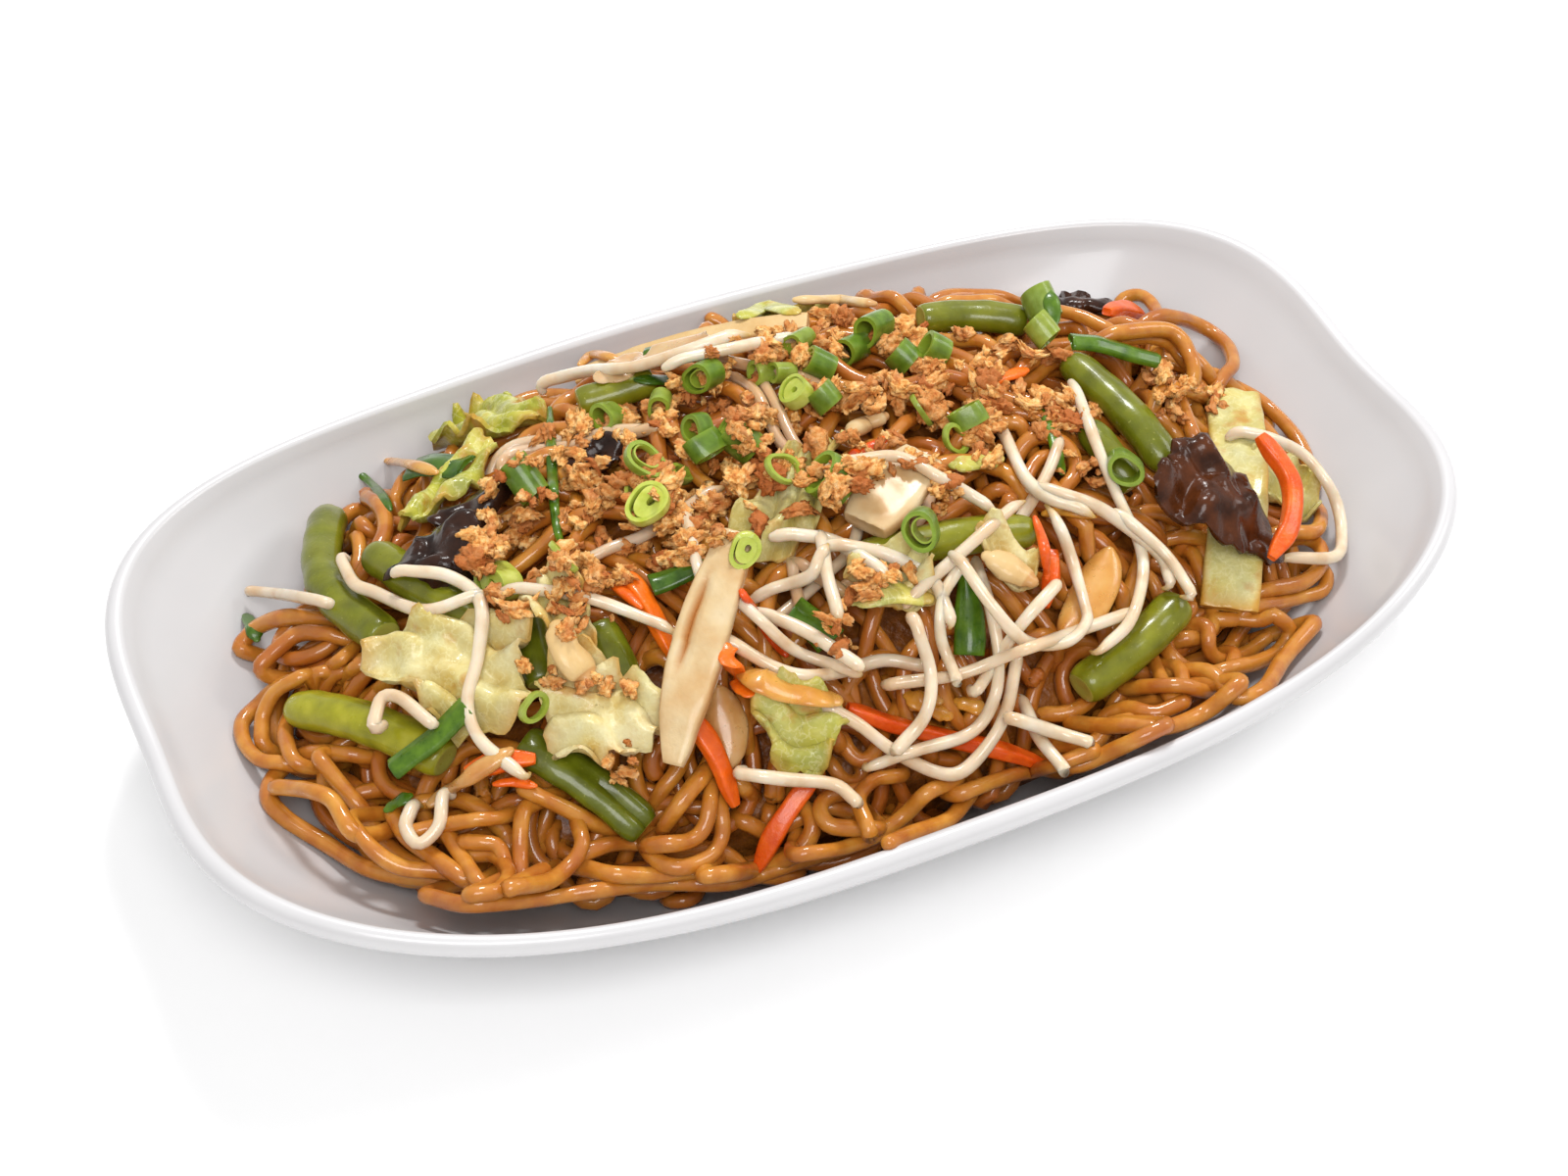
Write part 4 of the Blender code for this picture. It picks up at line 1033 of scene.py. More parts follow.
class Finish:
    """A Principled material whose colour, roughness and relief come from nodes."""

    def __init__(self, name, ground, rough, layers=(), relief=None, coat=(0.0, 0.1), soft=None,
                 clear=0.0, specular=SPECULAR, grain=0.5):
        self.material = bpy.data.materials.new(name)
        self.material.use_nodes = True
        self.nodes = self.material.node_tree.nodes
        self.links = self.material.node_tree.links
        self.place = self.node("TexCoord", {}).outputs["Object"]
        look = self.node("Attribute", {})
        look.attribute_name = "look"
        self.tone, self.mark, _ = self.node("SeparateColor", {0: look.outputs["Color"]}).outputs
        colour = self.spots(*ground, grain=grain)
        for where, strength, over in layers:
            colour = self.mix(self.share(where, strength), colour, over)
        values = {
            "Base Color": colour,
            "Roughness": self.between(*rough),
            "Specular IOR Level": specular,
            "Coat Weight": coat[0],
            "Coat Roughness": coat[1],
            "Transmission Weight": clear,
        }
        if relief:
            values["Normal"] = self.bump(*relief)
        if soft:
            values["Subsurface Weight"], values["Subsurface Radius"] = soft
            values["Subsurface Scale"] = SOFT_SCALE
        self.fill(self.nodes["Principled BSDF"], values)

    def fill(self, made, values):
        """Gives a node's sockets their constants, or the outputs that feed them."""
        for socket, value in values.items():
            if isinstance(value, bpy.types.NodeSocket):
                self.links.new(value, made.inputs[socket])
            else:
                made.inputs[socket].default_value = value
        return made

    def node(self, kind, values):
        return self.fill(self.nodes.new(f"ShaderNode{kind}"), values)

    def noise(self, size, detail, grain=0.5):
        """Noise in spots of about this size in millimetres."""
        values = {"Vector": self.place, "Scale": 1 / (size * MM), "Detail": detail, "Roughness": grain}
        return self.node("TexNoise", values).outputs["Fac"]

    def spots(self, size, detail, *stops, grain=0.5):
        """Noise as colours, which run from stop to stop."""
        made = self.node("ValToRGB", {0: self.noise(size, detail, grain)})
        elements = made.color_ramp.elements
        while len(elements) < len(stops):
            elements.new(0.5)
        for element, (place, colour) in zip(elements, stops):
            element.position = place
            element.color = (*colour, 1)
        return made.outputs["Color"]

    def share(self, where, strength):
        """How much of a layer shows: by the look's tone or mark, or in stains."""
        if isinstance(where, str):
            value = self.tone if where == "tone" else self.mark
            if strength == 1:
                return value
            made = self.node("Math", {0: value, 1: strength})
            made.operation = "MULTIPLY"
            return made.outputs[0]
        size, detail, *places = where
        stops = [(place, (strength * (k % 2),) * 3) for k, place in enumerate(places)]
        return self.spots(size, detail, *stops)

    def mix(self, share, under, over):
        """One colour over another; the upper one is plain or in spots."""
        made = self.node("Mix", {})
        made.data_type = "RGBA"
        over = self.spots(*over) if isinstance(over[-1], tuple) else (*over, 1)
        return self.fill(made, {0: share, 6: under, 7: over}).outputs[2]

    def between(self, size, detail, low, high):
        """Noise as a value between two."""
        values = {"Value": self.noise(size, detail), "To Min": low, "To Max": high}
        return self.node("MapRange", values).outputs[0]

    def bump(self, size, detail, depth, strength):
        values = {"Height": self.noise(size, detail), "Distance": depth * MM, "Strength": strength}
        return self.node("Bump", values).outputs[0]


def finish(name):
    return Finish(name, **FINISHES[name]).material


# Platter


def build_platter():
    """The same skin as the part's platter, in finer rings."""
    angle = np.linspace(0, math.tau, PLATTER_SIDES, endpoint=False)
    rings = [platter_ring(angle, FOOT_SHARES[0] - 0.02, -1)]
    rings += [platter_ring(angle, share, -1, height=0.0) for share in np.linspace(*FOOT_SHARES, 3)]
    rings += [platter_ring(angle, share, -1) for share in np.linspace(0.61, 0.985, 22)]
    rings += [lip_ring(angle, turn) for turn in np.linspace(1, 0, 13)]
    rings += [platter_ring(angle, share, 1) for share in np.linspace(0.985, 0.06, 46)]
    pieces = Pieces()
    pieces.add(np.vstack(rings) * PLATTER_FIT, skin_faces(len(rings), PLATTER_SIDES), (0, 0))
    return pieces.build("platter_body", finish("platter_glaze"), "platter", "platter", sharp=50)


# Toppings


def rod_path(node, lift, path):
    """A rod's middle line, through the same places as the part's."""
    flat = np.array(path, float) * MM
    reach = np.linalg.norm(np.diff(flat, axis=0), axis=1).sum()
    count = max(4, round(reach / ROD_SPAN))
    coarse = smooth_path(flat, reach / (count - 1))
    up = raise_of(node, lambda x, y: heap_top(x, y) + lift * MM)
    heights = heap_top(coarse[:, 0], coarse[:, 1]) + lift * MM + up
    return smooth_path(np.column_stack((coarse, heights)), ROD_STEP)


class Rod:
    """A swept piece in the making: its section over its length, and where its look is marked."""

    def __init__(self, node, width, thickness, power, middle, phase):
        self.node = node
        self.phase = phase
        self.half = width / 2 * MM
        self.length = np.linalg.norm(np.diff(middle, axis=0), axis=1).sum()
        self.t = np.linspace(0, 1, len(middle))[:, None]
        self.angle = np.linspace(0, math.tau, ROD_SIDES, endpoint=False)
        across, over = np.cos(self.angle), np.sin(self.angle)
        scale = (np.abs(across) ** power + np.abs(over) ** power) ** (-1 / power)
        self.across = across * scale
        self.on_top = over * scale > 0
        rows = len(middle)
        self.u = np.tile(self.across, (rows, 1)) * width / 2 * MM
        self.v = np.tile(over * scale, (rows, 1)) * thickness / 2 * MM
        self.mark = np.zeros((rows, ROD_SIDES))

    def worn(self, at_start, start_reach, at_end, end_reach):
        """Narrower towards both ends, by these shares within these reaches."""
        start = at_start * np.exp(-self.t * self.length / start_reach)
        return 1 - start - at_end * np.exp(-(1 - self.t) * self.length / end_reach)


def shape_bean(rod):
    """Slight swellings, a seam and rounded ends; one bean is split open."""
    t, phase = rod.t, rod.phase
    swell = 1 + 0.018 * np.sin(rod.length / (9 * MM) * math.tau * t + phase) + 0.02 * np.sin(5 * t + phase)
    seam = 1 - 0.06 * np.exp(-(((rod.angle - 1.9 + 0.3 * math.sin(phase)) / 0.2) ** 2))
    scale = swell * rod.worn(0.2, 1.2 * MM, 0.2, 1.2 * MM) * seam
    rod.u, rod.v = rod.u * scale, rod.v * scale
    if rod.node == "bean_front":
        open_end = np.clip((t - 0.25) / 0.5, 0, 1)
        rod.v -= open_end * 1.5 * MM * np.exp(-((rod.across / 0.22) ** 2)) * rod.on_top


def shape_carrot(rod):
    """A stick that twists a little and thins towards its ends."""
    ends = rod.worn(0.45, 2.5 * MM, 0.55, 4 * MM)
    wavy = 1 + 0.08 * np.sin(9 * rod.t + rod.phase)
    u, v = rod.u * (ends * wavy), rod.v * ends
    turn = 0.5 * np.sin(2 * rod.t + rod.phase)
    rod.u = u * np.cos(turn) - v * np.sin(turn)
    rod.v = u * np.sin(turn) + v * np.cos(turn)


def shape_onion(rod):
    """A thin arched slice, tapered to both ends."""
    taper = np.sqrt(np.clip(1 - (2 * rod.t - 1) ** 2 * 0.92, 0.04, 1))
    arch = -0.9 * MM * (rod.u / rod.half) ** 2
    rod.u, rod.v = rod.u * taper, rod.v * 0.7 + arch


def shape_stem(rod):
    """Dished and ribbed on top, brown here and there along its edges; one is tapered, with a slit."""
    t, phase, across = rod.t, rod.phase, rod.across
    dished = 0.5 * MM * across**2 + 0.12 * MM * np.cos(across * 14)
    rod.v = rod.v + dished * rod.on_top
    if rod.node == "stem_front":
        wide = 1.12 - 0.45 * (1 - t) ** 3 - 0.75 * t**4
        rod.u = rod.u * wide - (1.1 - wide) * 2.5 * MM * (t > 0.5)
        slit = np.exp(-(((t - 0.42) / 0.2) ** 4)) * np.exp(-(((across - 0.45) / 0.13) ** 2)) * rod.on_top
        rod.v -= 2.2 * MM * slit
        rod.mark += 0.9 * slit
    else:
        rod.u = rod.u * (1.12 - 0.25 * np.abs(2 * t - 1) ** 3 + 0.06 * np.sin(5 * t + phase))
    edge = np.clip(np.abs(across) - 0.86, 0, 1)
    rod.mark += 0.6 * edge / 0.14 * (0.5 + 0.5 * np.sin(11 * t + phase))


def shape_strip(rod):
    """A long leaf strip, ribbed and rocking slightly, browner along its edges and at its near end."""
    t, phase, across = rod.t, rod.phase, rod.across
    rod.v = rod.v + 0.5 * MM * np.sin(7 * t + phase) * across
    rod.v = rod.v + 0.35 * MM * np.cos(across * 7) * rod.on_top
    edge = np.clip((np.abs(across) - 0.8) / 0.15, 0, 1) * (0.6 + 0.4 * np.sin(13 * t + phase))
    rod.mark += 0.9 * np.clip((t - 0.9) / 0.1, 0, 1) ** 2 + 0.9 * edge


def shape_leaf(rod):
    """A thin arched leaf with fine veins; two of them narrow towards an end."""
    t = rod.t
    arch = -0.7 * MM * (rod.u / rod.half) ** 2
    veins = 0.12 * MM * np.cos(rod.across * 22)
    rod.v = rod.v * 0.6 + arch + veins + 0.4 * MM * np.sin(6 * t + rod.phase)
    if rod.node == "leaf_centre":
        rod.u = rod.u * np.clip(0.35 + 1.3 * t, 0, 1)
    if rod.node == "leaf_mid":
        rod.u = rod.u * (1 - 0.45 * t)


# Kind of rod: power of its section, roughness of its skin, mark of its cut ends, its own rule,
# its finish and its slot
ROD_KINDS = {
    "bean": (2.0, 0.18 * MM, 1.0, shape_bean, "green_beans", "bean"),
    "strip": (3.4, 0.25 * MM, 1.0, shape_strip, "cabbage_leaves", "cabbage"),
    "onion": (2.4, 0.25 * MM, 0.25, shape_onion, "onion_pieces", "onion"),
    "stem": (3.0, 0.25 * MM, 0.25, shape_stem, "cabbage_stems", "stem"),
    "carrot": (5.0, 0.18 * MM, 0.25, shape_carrot, "carrot_sticks", "carrot"),
    "leaf": (2.6, 0.25 * MM, 0.25, shape_leaf, "scallion_leaves", "leaf"),
}


def cut_ends(skin, middle):
    """Points and faces that close both ends of a rod, each with a raised edge and a slight hollow."""
    along = unit(np.gradient(middle, axis=0), 0)
    points, faces = [], []
    count = len(skin)
    for row, way in ((0, -1), (len(middle) - 1, 1)):
        outer = np.arange(ROD_SIDES) + row * ROD_SIDES
        ring = skin[outer]
        centre = ring.mean(0)
        for share, push in CUT_RINGS:
            points.append(centre + (ring - centre) * share + along[row] * way * push * MM)
            inner = np.arange(ROD_SIDES) + count
            pairs = np.column_stack((outer, inner, np.roll(inner, -1), np.roll(outer, -1)))
            faces.append(pairs[:, ::-way])
            count += ROD_SIDES
            outer = inner
        faces.append(outer[None, ::way])
    return np.vstack(points), faces


def build_rod(node, kind, width, thickness, lift, tone, path, material, rng):
    """A swept piece, with the skin of its kind and cut ends."""
    power, roughness, cut_mark, shape, _, slot = ROD_KINDS[kind]
    middle = rod_path(node, lift, path)
    rod = Rod(node, width, thickness, power, middle, rng.uniform(0, 6))
    shape(rod)
    _, side, top = frames_of(middle)
    sideways = rod.u[..., None] * side[:, None, :]
    upwards = rod.v[..., None] * top[:, None, :]
    skin = (middle[:, None, :] + sideways + upwards).reshape(-1, 3)
    outward = unit((sideways + upwards).reshape(-1, 3), 1e-9)
    shake = noise_at(*skin.T, 5 * MM)
    skin = skin + outward * (shake * roughness)[:, None]
    ends, end_faces = cut_ends(skin, middle)
    looks = looks_of(tone, np.clip(rod.mark, 0, 1), rod.mark.shape)
    end_looks = np.tile((tone, cut_mark), (len(ends), 1))
    pieces = Pieces()
    faces = [grid_faces(len(middle), ROD_SIDES)] + end_faces
    pieces.add(np.vstack((skin, ends)), faces, np.vstack((looks, end_looks)))
    return pieces.build(f"{node}_piece", material, slot, node, sharp=60)


def ear_relief(x, y, _, share, angle, place):
    """How a wood ear folds, and how its edge curls down."""
    folds = 1 - 2.6 * np.abs(noise_at(x, y, 9.0 * MM, 8 * MM))
    rise = (2.4 * MM * folds * share**0.5, 0.8 * MM * noise_at(x, y, 3.0 * MM, 4 * MM))
    return (*rise, -4.2 * MM * share**4 * (0.6 + 0.4 * np.sin(3 * angle + place[1])))


def cabbage_relief(x, y, along, share, angle, place):
    """How a leaf folds in waves and ridges, and where its edge tucks under."""
    bend = noise_at(x, y, 6.0 * MM, 12 * MM)
    folds = np.sin(along / (6 * MM) * math.tau + 5 * bend + place[0])
    ridge = 1 - 2.4 * np.abs(noise_at(x, y, 15.0 * MM, 9 * MM))
    rise = (2.1 * MM * folds * share**0.5, 2.6 * MM * ridge * share)
    fine = 0.6 * MM * noise_at(x, y, 3.0 * MM, 4 * MM)
    tuck = np.clip(np.sin(2 * angle + place[0]) + 0.4 * np.sin(5 * angle), -0.3, 1)
    return (*rise, fine, -3.4 * MM * share**4 * tuck, 1.2 * MM * share**6)


def build_sheet(node, kind, place, turn, length, width, thickness, crumple, tone, material):
    """A crumpled leaf over the same ground as the part's, with finer folds, ribs and a curled edge."""

    def ground(x, y):
        fold = 0.5 + noise_at(x, y, length * SHEET_FOLD, SHEET_FOLD)
        return core_top(x, y) + crumple * MM * np.maximum(0.0, fold) + thickness * MM / 2 + 2 * GAP

    up = raise_of(node, ground)
    share = np.linspace(0.03, 1, SHEET_RINGS)[:, None]
    angle = np.linspace(0, math.tau, SHEET_SECTORS, endpoint=False)[None, :]
    uneven = 1 + share * (0.14 * np.sin(3 * angle + place[0]) + 0.08 * np.sin(5 * angle + place[1]))
    uneven = uneven + 0.035 * share * np.sin(13 * angle + place[0]) + 0.02 * share * np.sin(23 * angle)
    across = length / 2 * MM * uneven * share * np.cos(angle)
    along = width / 2 * MM * uneven * share * np.sin(angle)
    spin = math.radians(turn)
    x = place[0] * MM + across * math.cos(spin) - along * math.sin(spin)
    y = place[1] * MM + across * math.sin(spin) + along * math.cos(spin)
    z = ground(x, y) + up
    relief = ear_relief if kind == "ear" else cabbage_relief
    for rise in relief(x, y, along, share, angle, place):
        z = z + rise
    surface = np.dstack((x, y, z))
    around = np.roll(surface, -1, axis=1) - np.roll(surface, 1, axis=1)
    normal = unit(np.cross(np.gradient(surface, axis=0), around))
    normal *= np.sign(normal[..., 2:])
    half = thickness * MM / 2 * np.clip(1.05 - 0.6 * share**6, 0.3, 1)
    points, faces = slab(surface + normal * half[..., None], surface - normal * half[..., None])
    mark = 0
    if kind == "cabbage":
        tone = tone + 0.25 * noise_at(x, y, 20 * MM, 11 * MM)
        mark = share**10 * (0.5 + 0.5 * np.sin(5 * angle + place[0])) * 0.7
    looks = looks_of(np.clip(tone, 0, 1), mark, x.shape)
    pieces = Pieces()
    pieces.add(points, faces, np.vstack((looks, looks)))
    return pieces.build(f"{node}_piece", material, kind, node, sharp=70)


def ring_walls(radius, pale, rng):
    """The leaves of a cut scallion: share of its radius, wall and inset in mm."""
    walls = [(1.0, RING_WALL / MM, 0.0)]
    if pale > 0.7:
        walls += [(0.8, radius * 0.62, 0.35)]
    elif radius > 3.4 and rng.uniform() < 0.5:
        walls += [(0.66, 0.6, 0.6)]
    return walls


def add_ring(pieces, middle, tilt, turn, radius, length, pale, rng):
    """A cut piece of scallion: an outer leaf, an inner one, and rims at both cut faces."""
    spin = Matrix.Rotation(math.radians(turn), 3, "Z") @ Matrix.Rotation(math.radians(tilt), 3, "X")
    angle = np.linspace(0, math.tau, RING_SIDES, endpoint=False)
    phase = rng.uniform(0, 6)
    oval = 1 + 0.14 * np.cos(2 * angle + phase) + 0.04 * np.sin(3 * angle + 2 * phase)
    for k, (share, wall, inset) in enumerate(ring_walls(radius, pale, rng)):
        outer = radius * share
        inner = max(RING_ROUND, outer - wall)
        shift = np.array((0.16, 0.1, 0)) * k * radius * MM
        heights = np.linspace(-0.5, 0.5, RING_STEPS) * (length - inset)
        round_off = [RING_ROUND if i in (0, RING_STEPS - 1) else 0 for i in range(RING_STEPS)]
        rings = [(outer - off, h) for off, h in zip(round_off, heights)]
        rings += [(inner + off, h) for off, h in zip(round_off, heights[::-1])]
        points = []
        for r, h in rings:
            reach = r * oval * MM
            slant = 0.1 * r * np.cos(angle + phase)
            points.append(np.column_stack((reach * np.cos(angle), reach * np.sin(angle), (h + slant) * MM)))
        points = (np.vstack(points) + shift) @ np.array(spin).T + middle
        points[:, 2] = np.minimum(points[:, 2], CEILING)
        grid = np.arange(len(points)).reshape(len(rings), RING_SIDES)
        corners = (grid, np.roll(grid, -1, 1), np.roll(np.roll(grid, -1, 0), -1, 1), np.roll(grid, -1, 0))
        faces = np.dstack(corners).reshape(-1, 4)
        mark = np.zeros((len(rings), 1))
        mark[RING_STEPS:] = 0.6
        mark[[0, RING_STEPS - 1]] = 0.3
        pieces.add(points, [faces], looks_of(min(1, pale + 0.25 * k), mark, grid.shape))


def build_toppings():
    rng = np.random.default_rng(SEED)
    finishes = {kind: finish(row[4]) for kind, row in ROD_KINDS.items()}
    made = []
    for node, kind, *rest in RODS:
        made.append(build_rod(node, kind, *rest, finishes[kind], rng))
    leaves = {"ear": finish("wood_ear"), "cabbage": finishes["strip"]}
    for node, kind, *rest in SHEETS:
        made.append(build_sheet(node, kind, *rest, leaves[kind]))
    cut = finish("scallion_rings")
    for node, *rest in RINGS:
        low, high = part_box(node)
        pieces = Pieces()
        add_ring(pieces, np.array((low + high) / 2), *rest, rng)
        made.append(pieces.build(f"{node}_piece", cut, "scallion", node, sharp=50))
    return made, cut


# Noodles, sprouts, crumbs and small rings, which together stand for the part's tangle


def places_of(obj):
    places = np.empty(len(obj.data.vertices) * 3, np.float32)
    obj.data.vertices.foreach_get("co", places)
    return places.reshape(-1, 3).astype(float)


def build_bed():
    """The scene's own core: a sauce-brown ground under the strands, painted dark as the shade in the gaps
    between them.
    """
    angle = np.linspace(0, math.tau, BED_SIDES, endpoint=False)[None, :]
    share = np.linspace(0.02, BED_SHARE, BED_RINGS)[:, None]
    reach = (np.abs(np.cos(angle)) ** HEAP_POWER + np.abs(np.sin(angle)) ** HEAP_POWER) ** (-1 / HEAP_POWER)
    x = HEAP_CENTRE[0] + HEAP_HALF_LENGTH * share * reach * np.cos(angle)
    y = HEAP_CENTRE[1] + HEAP_HALF_WIDTH * share * reach * np.sin(angle)
    low = platter_top(x, y, GAP)
    bump = BED_BUMP * noise_at(x, y, 0.0, 5 * MM)
    z = np.maximum(heap_top(x, y) - BED_DEPTH + bump, low + BED_LEAST)
    pieces = Pieces()
    pieces.add(*slab(np.dstack((x, y, z)), np.dstack((x, y, low))), (0.5, 0))
    return pieces.build("sauce_and_shade_bed", finish("sauce_and_shade_bed"), "noodle", "noodles")


def uneven_radius(count, radius, rng):
    t = np.arange(count) * STEP
    phase = rng.uniform(0, 6, 2)
    size = radius * rng.uniform(0.9, 1.03)
    return size * (1 + 0.05 * np.sin(t / (7 * MM) + phase[0]) + 0.03 * np.sin(t / (2.7 * MM) + phase[1]))


def with_hidden_ends(field, points, kind):
    """The strand led on at both ends, down and inwards among the others, where a cut end doesn't show."""
    radius, _, _, steps, drop = STRANDS[kind]
    k = np.arange(1, steps + 1)[:, None] / steps
    ends = []
    for end, before in ((points[0], points[3]), (points[-1], points[-4])):
        inward = np.array((HEAP_CENTRE[0] - end[0], HEAP_CENTRE[1] - end[1], 0))
        inward /= np.linalg.norm(inward)
        edge = np.clip((field.at(field.share, end[None, :2])[0] - 0.6) / 0.3, 0, 1)
        ahead = (end - before) / 3 * k * steps * (1 - 0.85 * edge * k)
        more = end + ahead + inward * k**2 * END_PULL * edge * (steps / LONG_END) ** 2
        more[:, 2] -= k[:, 0] ** 1.5 * drop
        i, j, caps = field.cells(more[:, :2], radius)
        floor = (field.dish[i, j] + caps).max(1)
        clear = np.cumprod(floor < end[2] + END_RISE).astype(bool)
        roof = (field.roof[i, j] - caps).min(1)
        more[:, 2] = np.maximum(np.minimum(more[:, 2], roof), floor)
        ends.append(more[clear])
    return np.vstack((ends[0][::-1], points, ends[1]))


def runs_of(kept):
    """The places in a row, cut into runs that are all kept or all not."""
    return np.split(np.arange(len(kept)), np.flatnonzero(np.diff(kept.astype(int))) + 1)


def kept_inside(points):
    """The longest run of a strand's places that lies within the platter's lip."""
    inside = rim_measure(points[:, 0], points[:, 1]) < WITHIN_LIP
    longest = max(runs_of(inside), key=lambda run: len(run) * inside[run[0]])
    return points[longest][inside[longest]]


def lay_noodle(field, pieces, points, sides, tone, rng):
    field.lay(points, STRAND_RADIUS)
    sizes = uneven_radius(len(points), STRAND_RADIUS, rng)
    every = 2 if sides == HIDDEN_SIDES else 1
    add_tube(pieces, points[::every], sizes[::every], sides, tone)


def lay_sprout(field, pieces, points, sides, tone, rng):
    """A sprout, blunt at its head and thinning to a brown root; the next ones sink a little into it."""
    t = np.linspace(0, 1, len(points))
    taper = np.minimum(1.02, 0.32 + 8 * np.minimum(t + 0.06, 1 - t))
    field.lay(points - (0, 0, 0.9 * SPROUT_RADIUS), SPROUT_RADIUS)
    sizes = uneven_radius(len(points), SPROUT_RADIUS, rng) * taper
    add_tube(pieces, points, sizes, sides, tone, 0.9 * np.clip((t - 0.92) / 0.08, 0, 1))


LAY = {"noodle": lay_noodle, "sprout": lay_sprout}


def low_place(field, depth, most, least, spent, rng):
    """A place where what has been laid so far still lies lowest under the heap's surface."""
    rows, columns = (count // BLOCK * BLOCK for count in field.size)
    inner = (slice(rows), slice(columns))
    gap = (field.goal - depth - field.top)[inner]
    outside = (field.share[inner] > most) | (field.share[inner] < least)
    if least >= EDGE_LEAST:
        outside |= field.y[inner] > EDGE_BACK
    gap = np.where(outside, -1, gap).reshape(rows // BLOCK, BLOCK, columns // BLOCK, BLOCK).mean((1, 3))
    gap = gap + rng.uniform(0, 0.6 * MM, gap.shape) - spent
    i, j = np.unravel_index(gap.argmax(), gap.shape)
    spent[i, j] += 1.5 * MM
    return field.low + (np.array((i, j)) + 0.5) * BLOCK * field.cell, gap[i, j]


def both_ways(start, length, bend, most, least, rng):
    """A strand's path on the plan, led from its start to both sides: round the edge, or wandering."""
    outward = math.atan2(start[1] - HEAP_CENTRE[1], (start[0] - HEAP_CENTRE[0]) * 0.6)
    heading = outward + math.pi / 2 + rng.normal(0, 0.9)
    length = rng.uniform(*length) * MM
    if least < EDGE_LEAST:
        half = wander(start, heading, length / 2, bend, most - TURN_BACK, rng)
        back = wander(start, heading + math.pi, length / 2, bend, most - TURN_BACK, rng)
    else:
        half = edge_path(start, 1, length / 2, rng)
        back = edge_path(start, -1, length / 2, rng)
    flat = np.vstack((back[::-1][:-1], half))
    return eased_path(flat, 3)


def fill(field, pieces, kind, count, depth, most, least, length, bundle, sides, tones, rng):
    """Lays strands, each starting where the heap is still lowest, in bundles that run side by side."""
    radius, bend, stiffness, _, _ = STRANDS[kind]
    depth = depth * MM
    spent = np.zeros((field.size[0] // BLOCK, field.size[1] // BLOCK))
    for _ in range(count):
        start, gap = low_place(field, depth + 2 * radius, most, least, spent, rng)
        if gap < LEAST_GAP:
            break
        flat = both_ways(start, length, bend, most, least, rng)
        side = normals_of(flat)
        for k in range(rng.integers(*bundle)):
            drift = k * (2 * radius + 0.3 * MM) + 0.8 * MM * np.sin(np.arange(len(flat)) / 9 + k)
            beside = eased_path(flat + side * drift[:, None], 12)[rng.integers(0, 6):]
            rest, _ = field.rest(beside, radius)
            goal = field.at(field.goal, beside)
            fits = (rest + radius < goal - depth + OVER_GOAL) & (field.at(field.share, beside) < most + 0.02)
            if least >= EDGE_LEAST:
                fits &= beside[:, 1] < EDGE_BACK
            for run in runs_of(fits):
                if not fits[run[0]] or len(run) < LEAST_RUN:
                    continue
                points = with_hidden_ends(field, laid(field, beside[run], radius, stiffness), kind)
                LAY[kind](field, pieces, points, sides, rng.uniform(*tones), rng)


def lay_traces(field, pieces, kind, traces, most_tone, rng):
    """Strands along their pixels on the photograph."""
    radius, _, stiffness, _, _ = STRANDS[kind]
    for trace in traces:
        points = kept_inside(traced(field, trace, radius, stiffness))
        if len(points) >= LEAST_TRACE:
            points = with_hidden_ends(field, points, kind)
            LAY[kind](field, pieces, points, TRACE_SIDES, rng.uniform(0, most_tone), rng)


def crumb_shape(points, radius, rng):
    """A craggy flake or lump from a ball's points."""
    offset = Vector(rng.uniform(-50, 50, 3))
    stretch = np.array((rng.uniform(1.0, 1.7), rng.uniform(0.6, 1.1), rng.uniform(0.4, 0.85)))
    shapes = []
    for point in points:
        where = Vector(point) + offset
        size = 1 + CRAGS * noise.noise(where * 1.3) + CRAGS * 0.8 * noise.noise(where * 2.7)
        size += CRAGS * (0.25 - 0.9 * abs(noise.noise(where * 4.3)))
        shapes.append(min(1.5, max(0.4, size)))
    made = points * stretch * np.array(shapes)[:, None]
    x, y = made[:, 0], made[:, 1]
    made[:, 2] += rng.uniform(-0.25, 0.25) * x**2 + rng.uniform(-0.35, 0.35) * x * y
    return made * radius


def ball(level):
    shell = bmesh.new()
    bmesh.ops.create_icosphere(shell, subdivisions=level, radius=1)
    points = np.array([v.co for v in shell.verts])
    faces = np.array([[v.index for v in f.verts] for f in shell.faces])
    shell.free()
    return points, faces


def inside_outline(places, outline):
    """Which places lie inside a closed outline."""
    x, y = places.T
    inside = np.zeros(len(places), bool)
    for (x1, y1), (x2, y2) in zip(outline, np.roll(outline, -1, axis=0)):
        crosses = (y1 > y) != (y2 > y)
        inside ^= crosses & (x < (x2 - x1) * (y - y1) / (y2 - y1 + 1e-9) + x1)
    return inside


def add_crumb(field, pieces, pixel, radius, shape, rng):
    points, faces = shape
    z = field.seen(np.array([pixel]), radius * 0.6)
    flat = place_of(pixel, z)
    if field.at(field.share, flat)[0] > CRUMB_SHARE:
        return
    middle = np.append(flat[0], min(z[0], CEILING - radius) - radius * 0.1)
    made = crumb_shape(points, radius, rng)
    spin = Matrix.Rotation(rng.uniform(0, 6), 3, "Z") @ Matrix.Rotation(rng.uniform(-1.0, 1.0), 3, "X")
    made = made @ np.array(spin).T + middle
    made[:, 2] = np.minimum(made[:, 2], CEILING)
    pieces.add(made, [faces], (rng.uniform(0, 1) ** 2, 0))
    field.lay(middle[None, :], radius * 0.55)


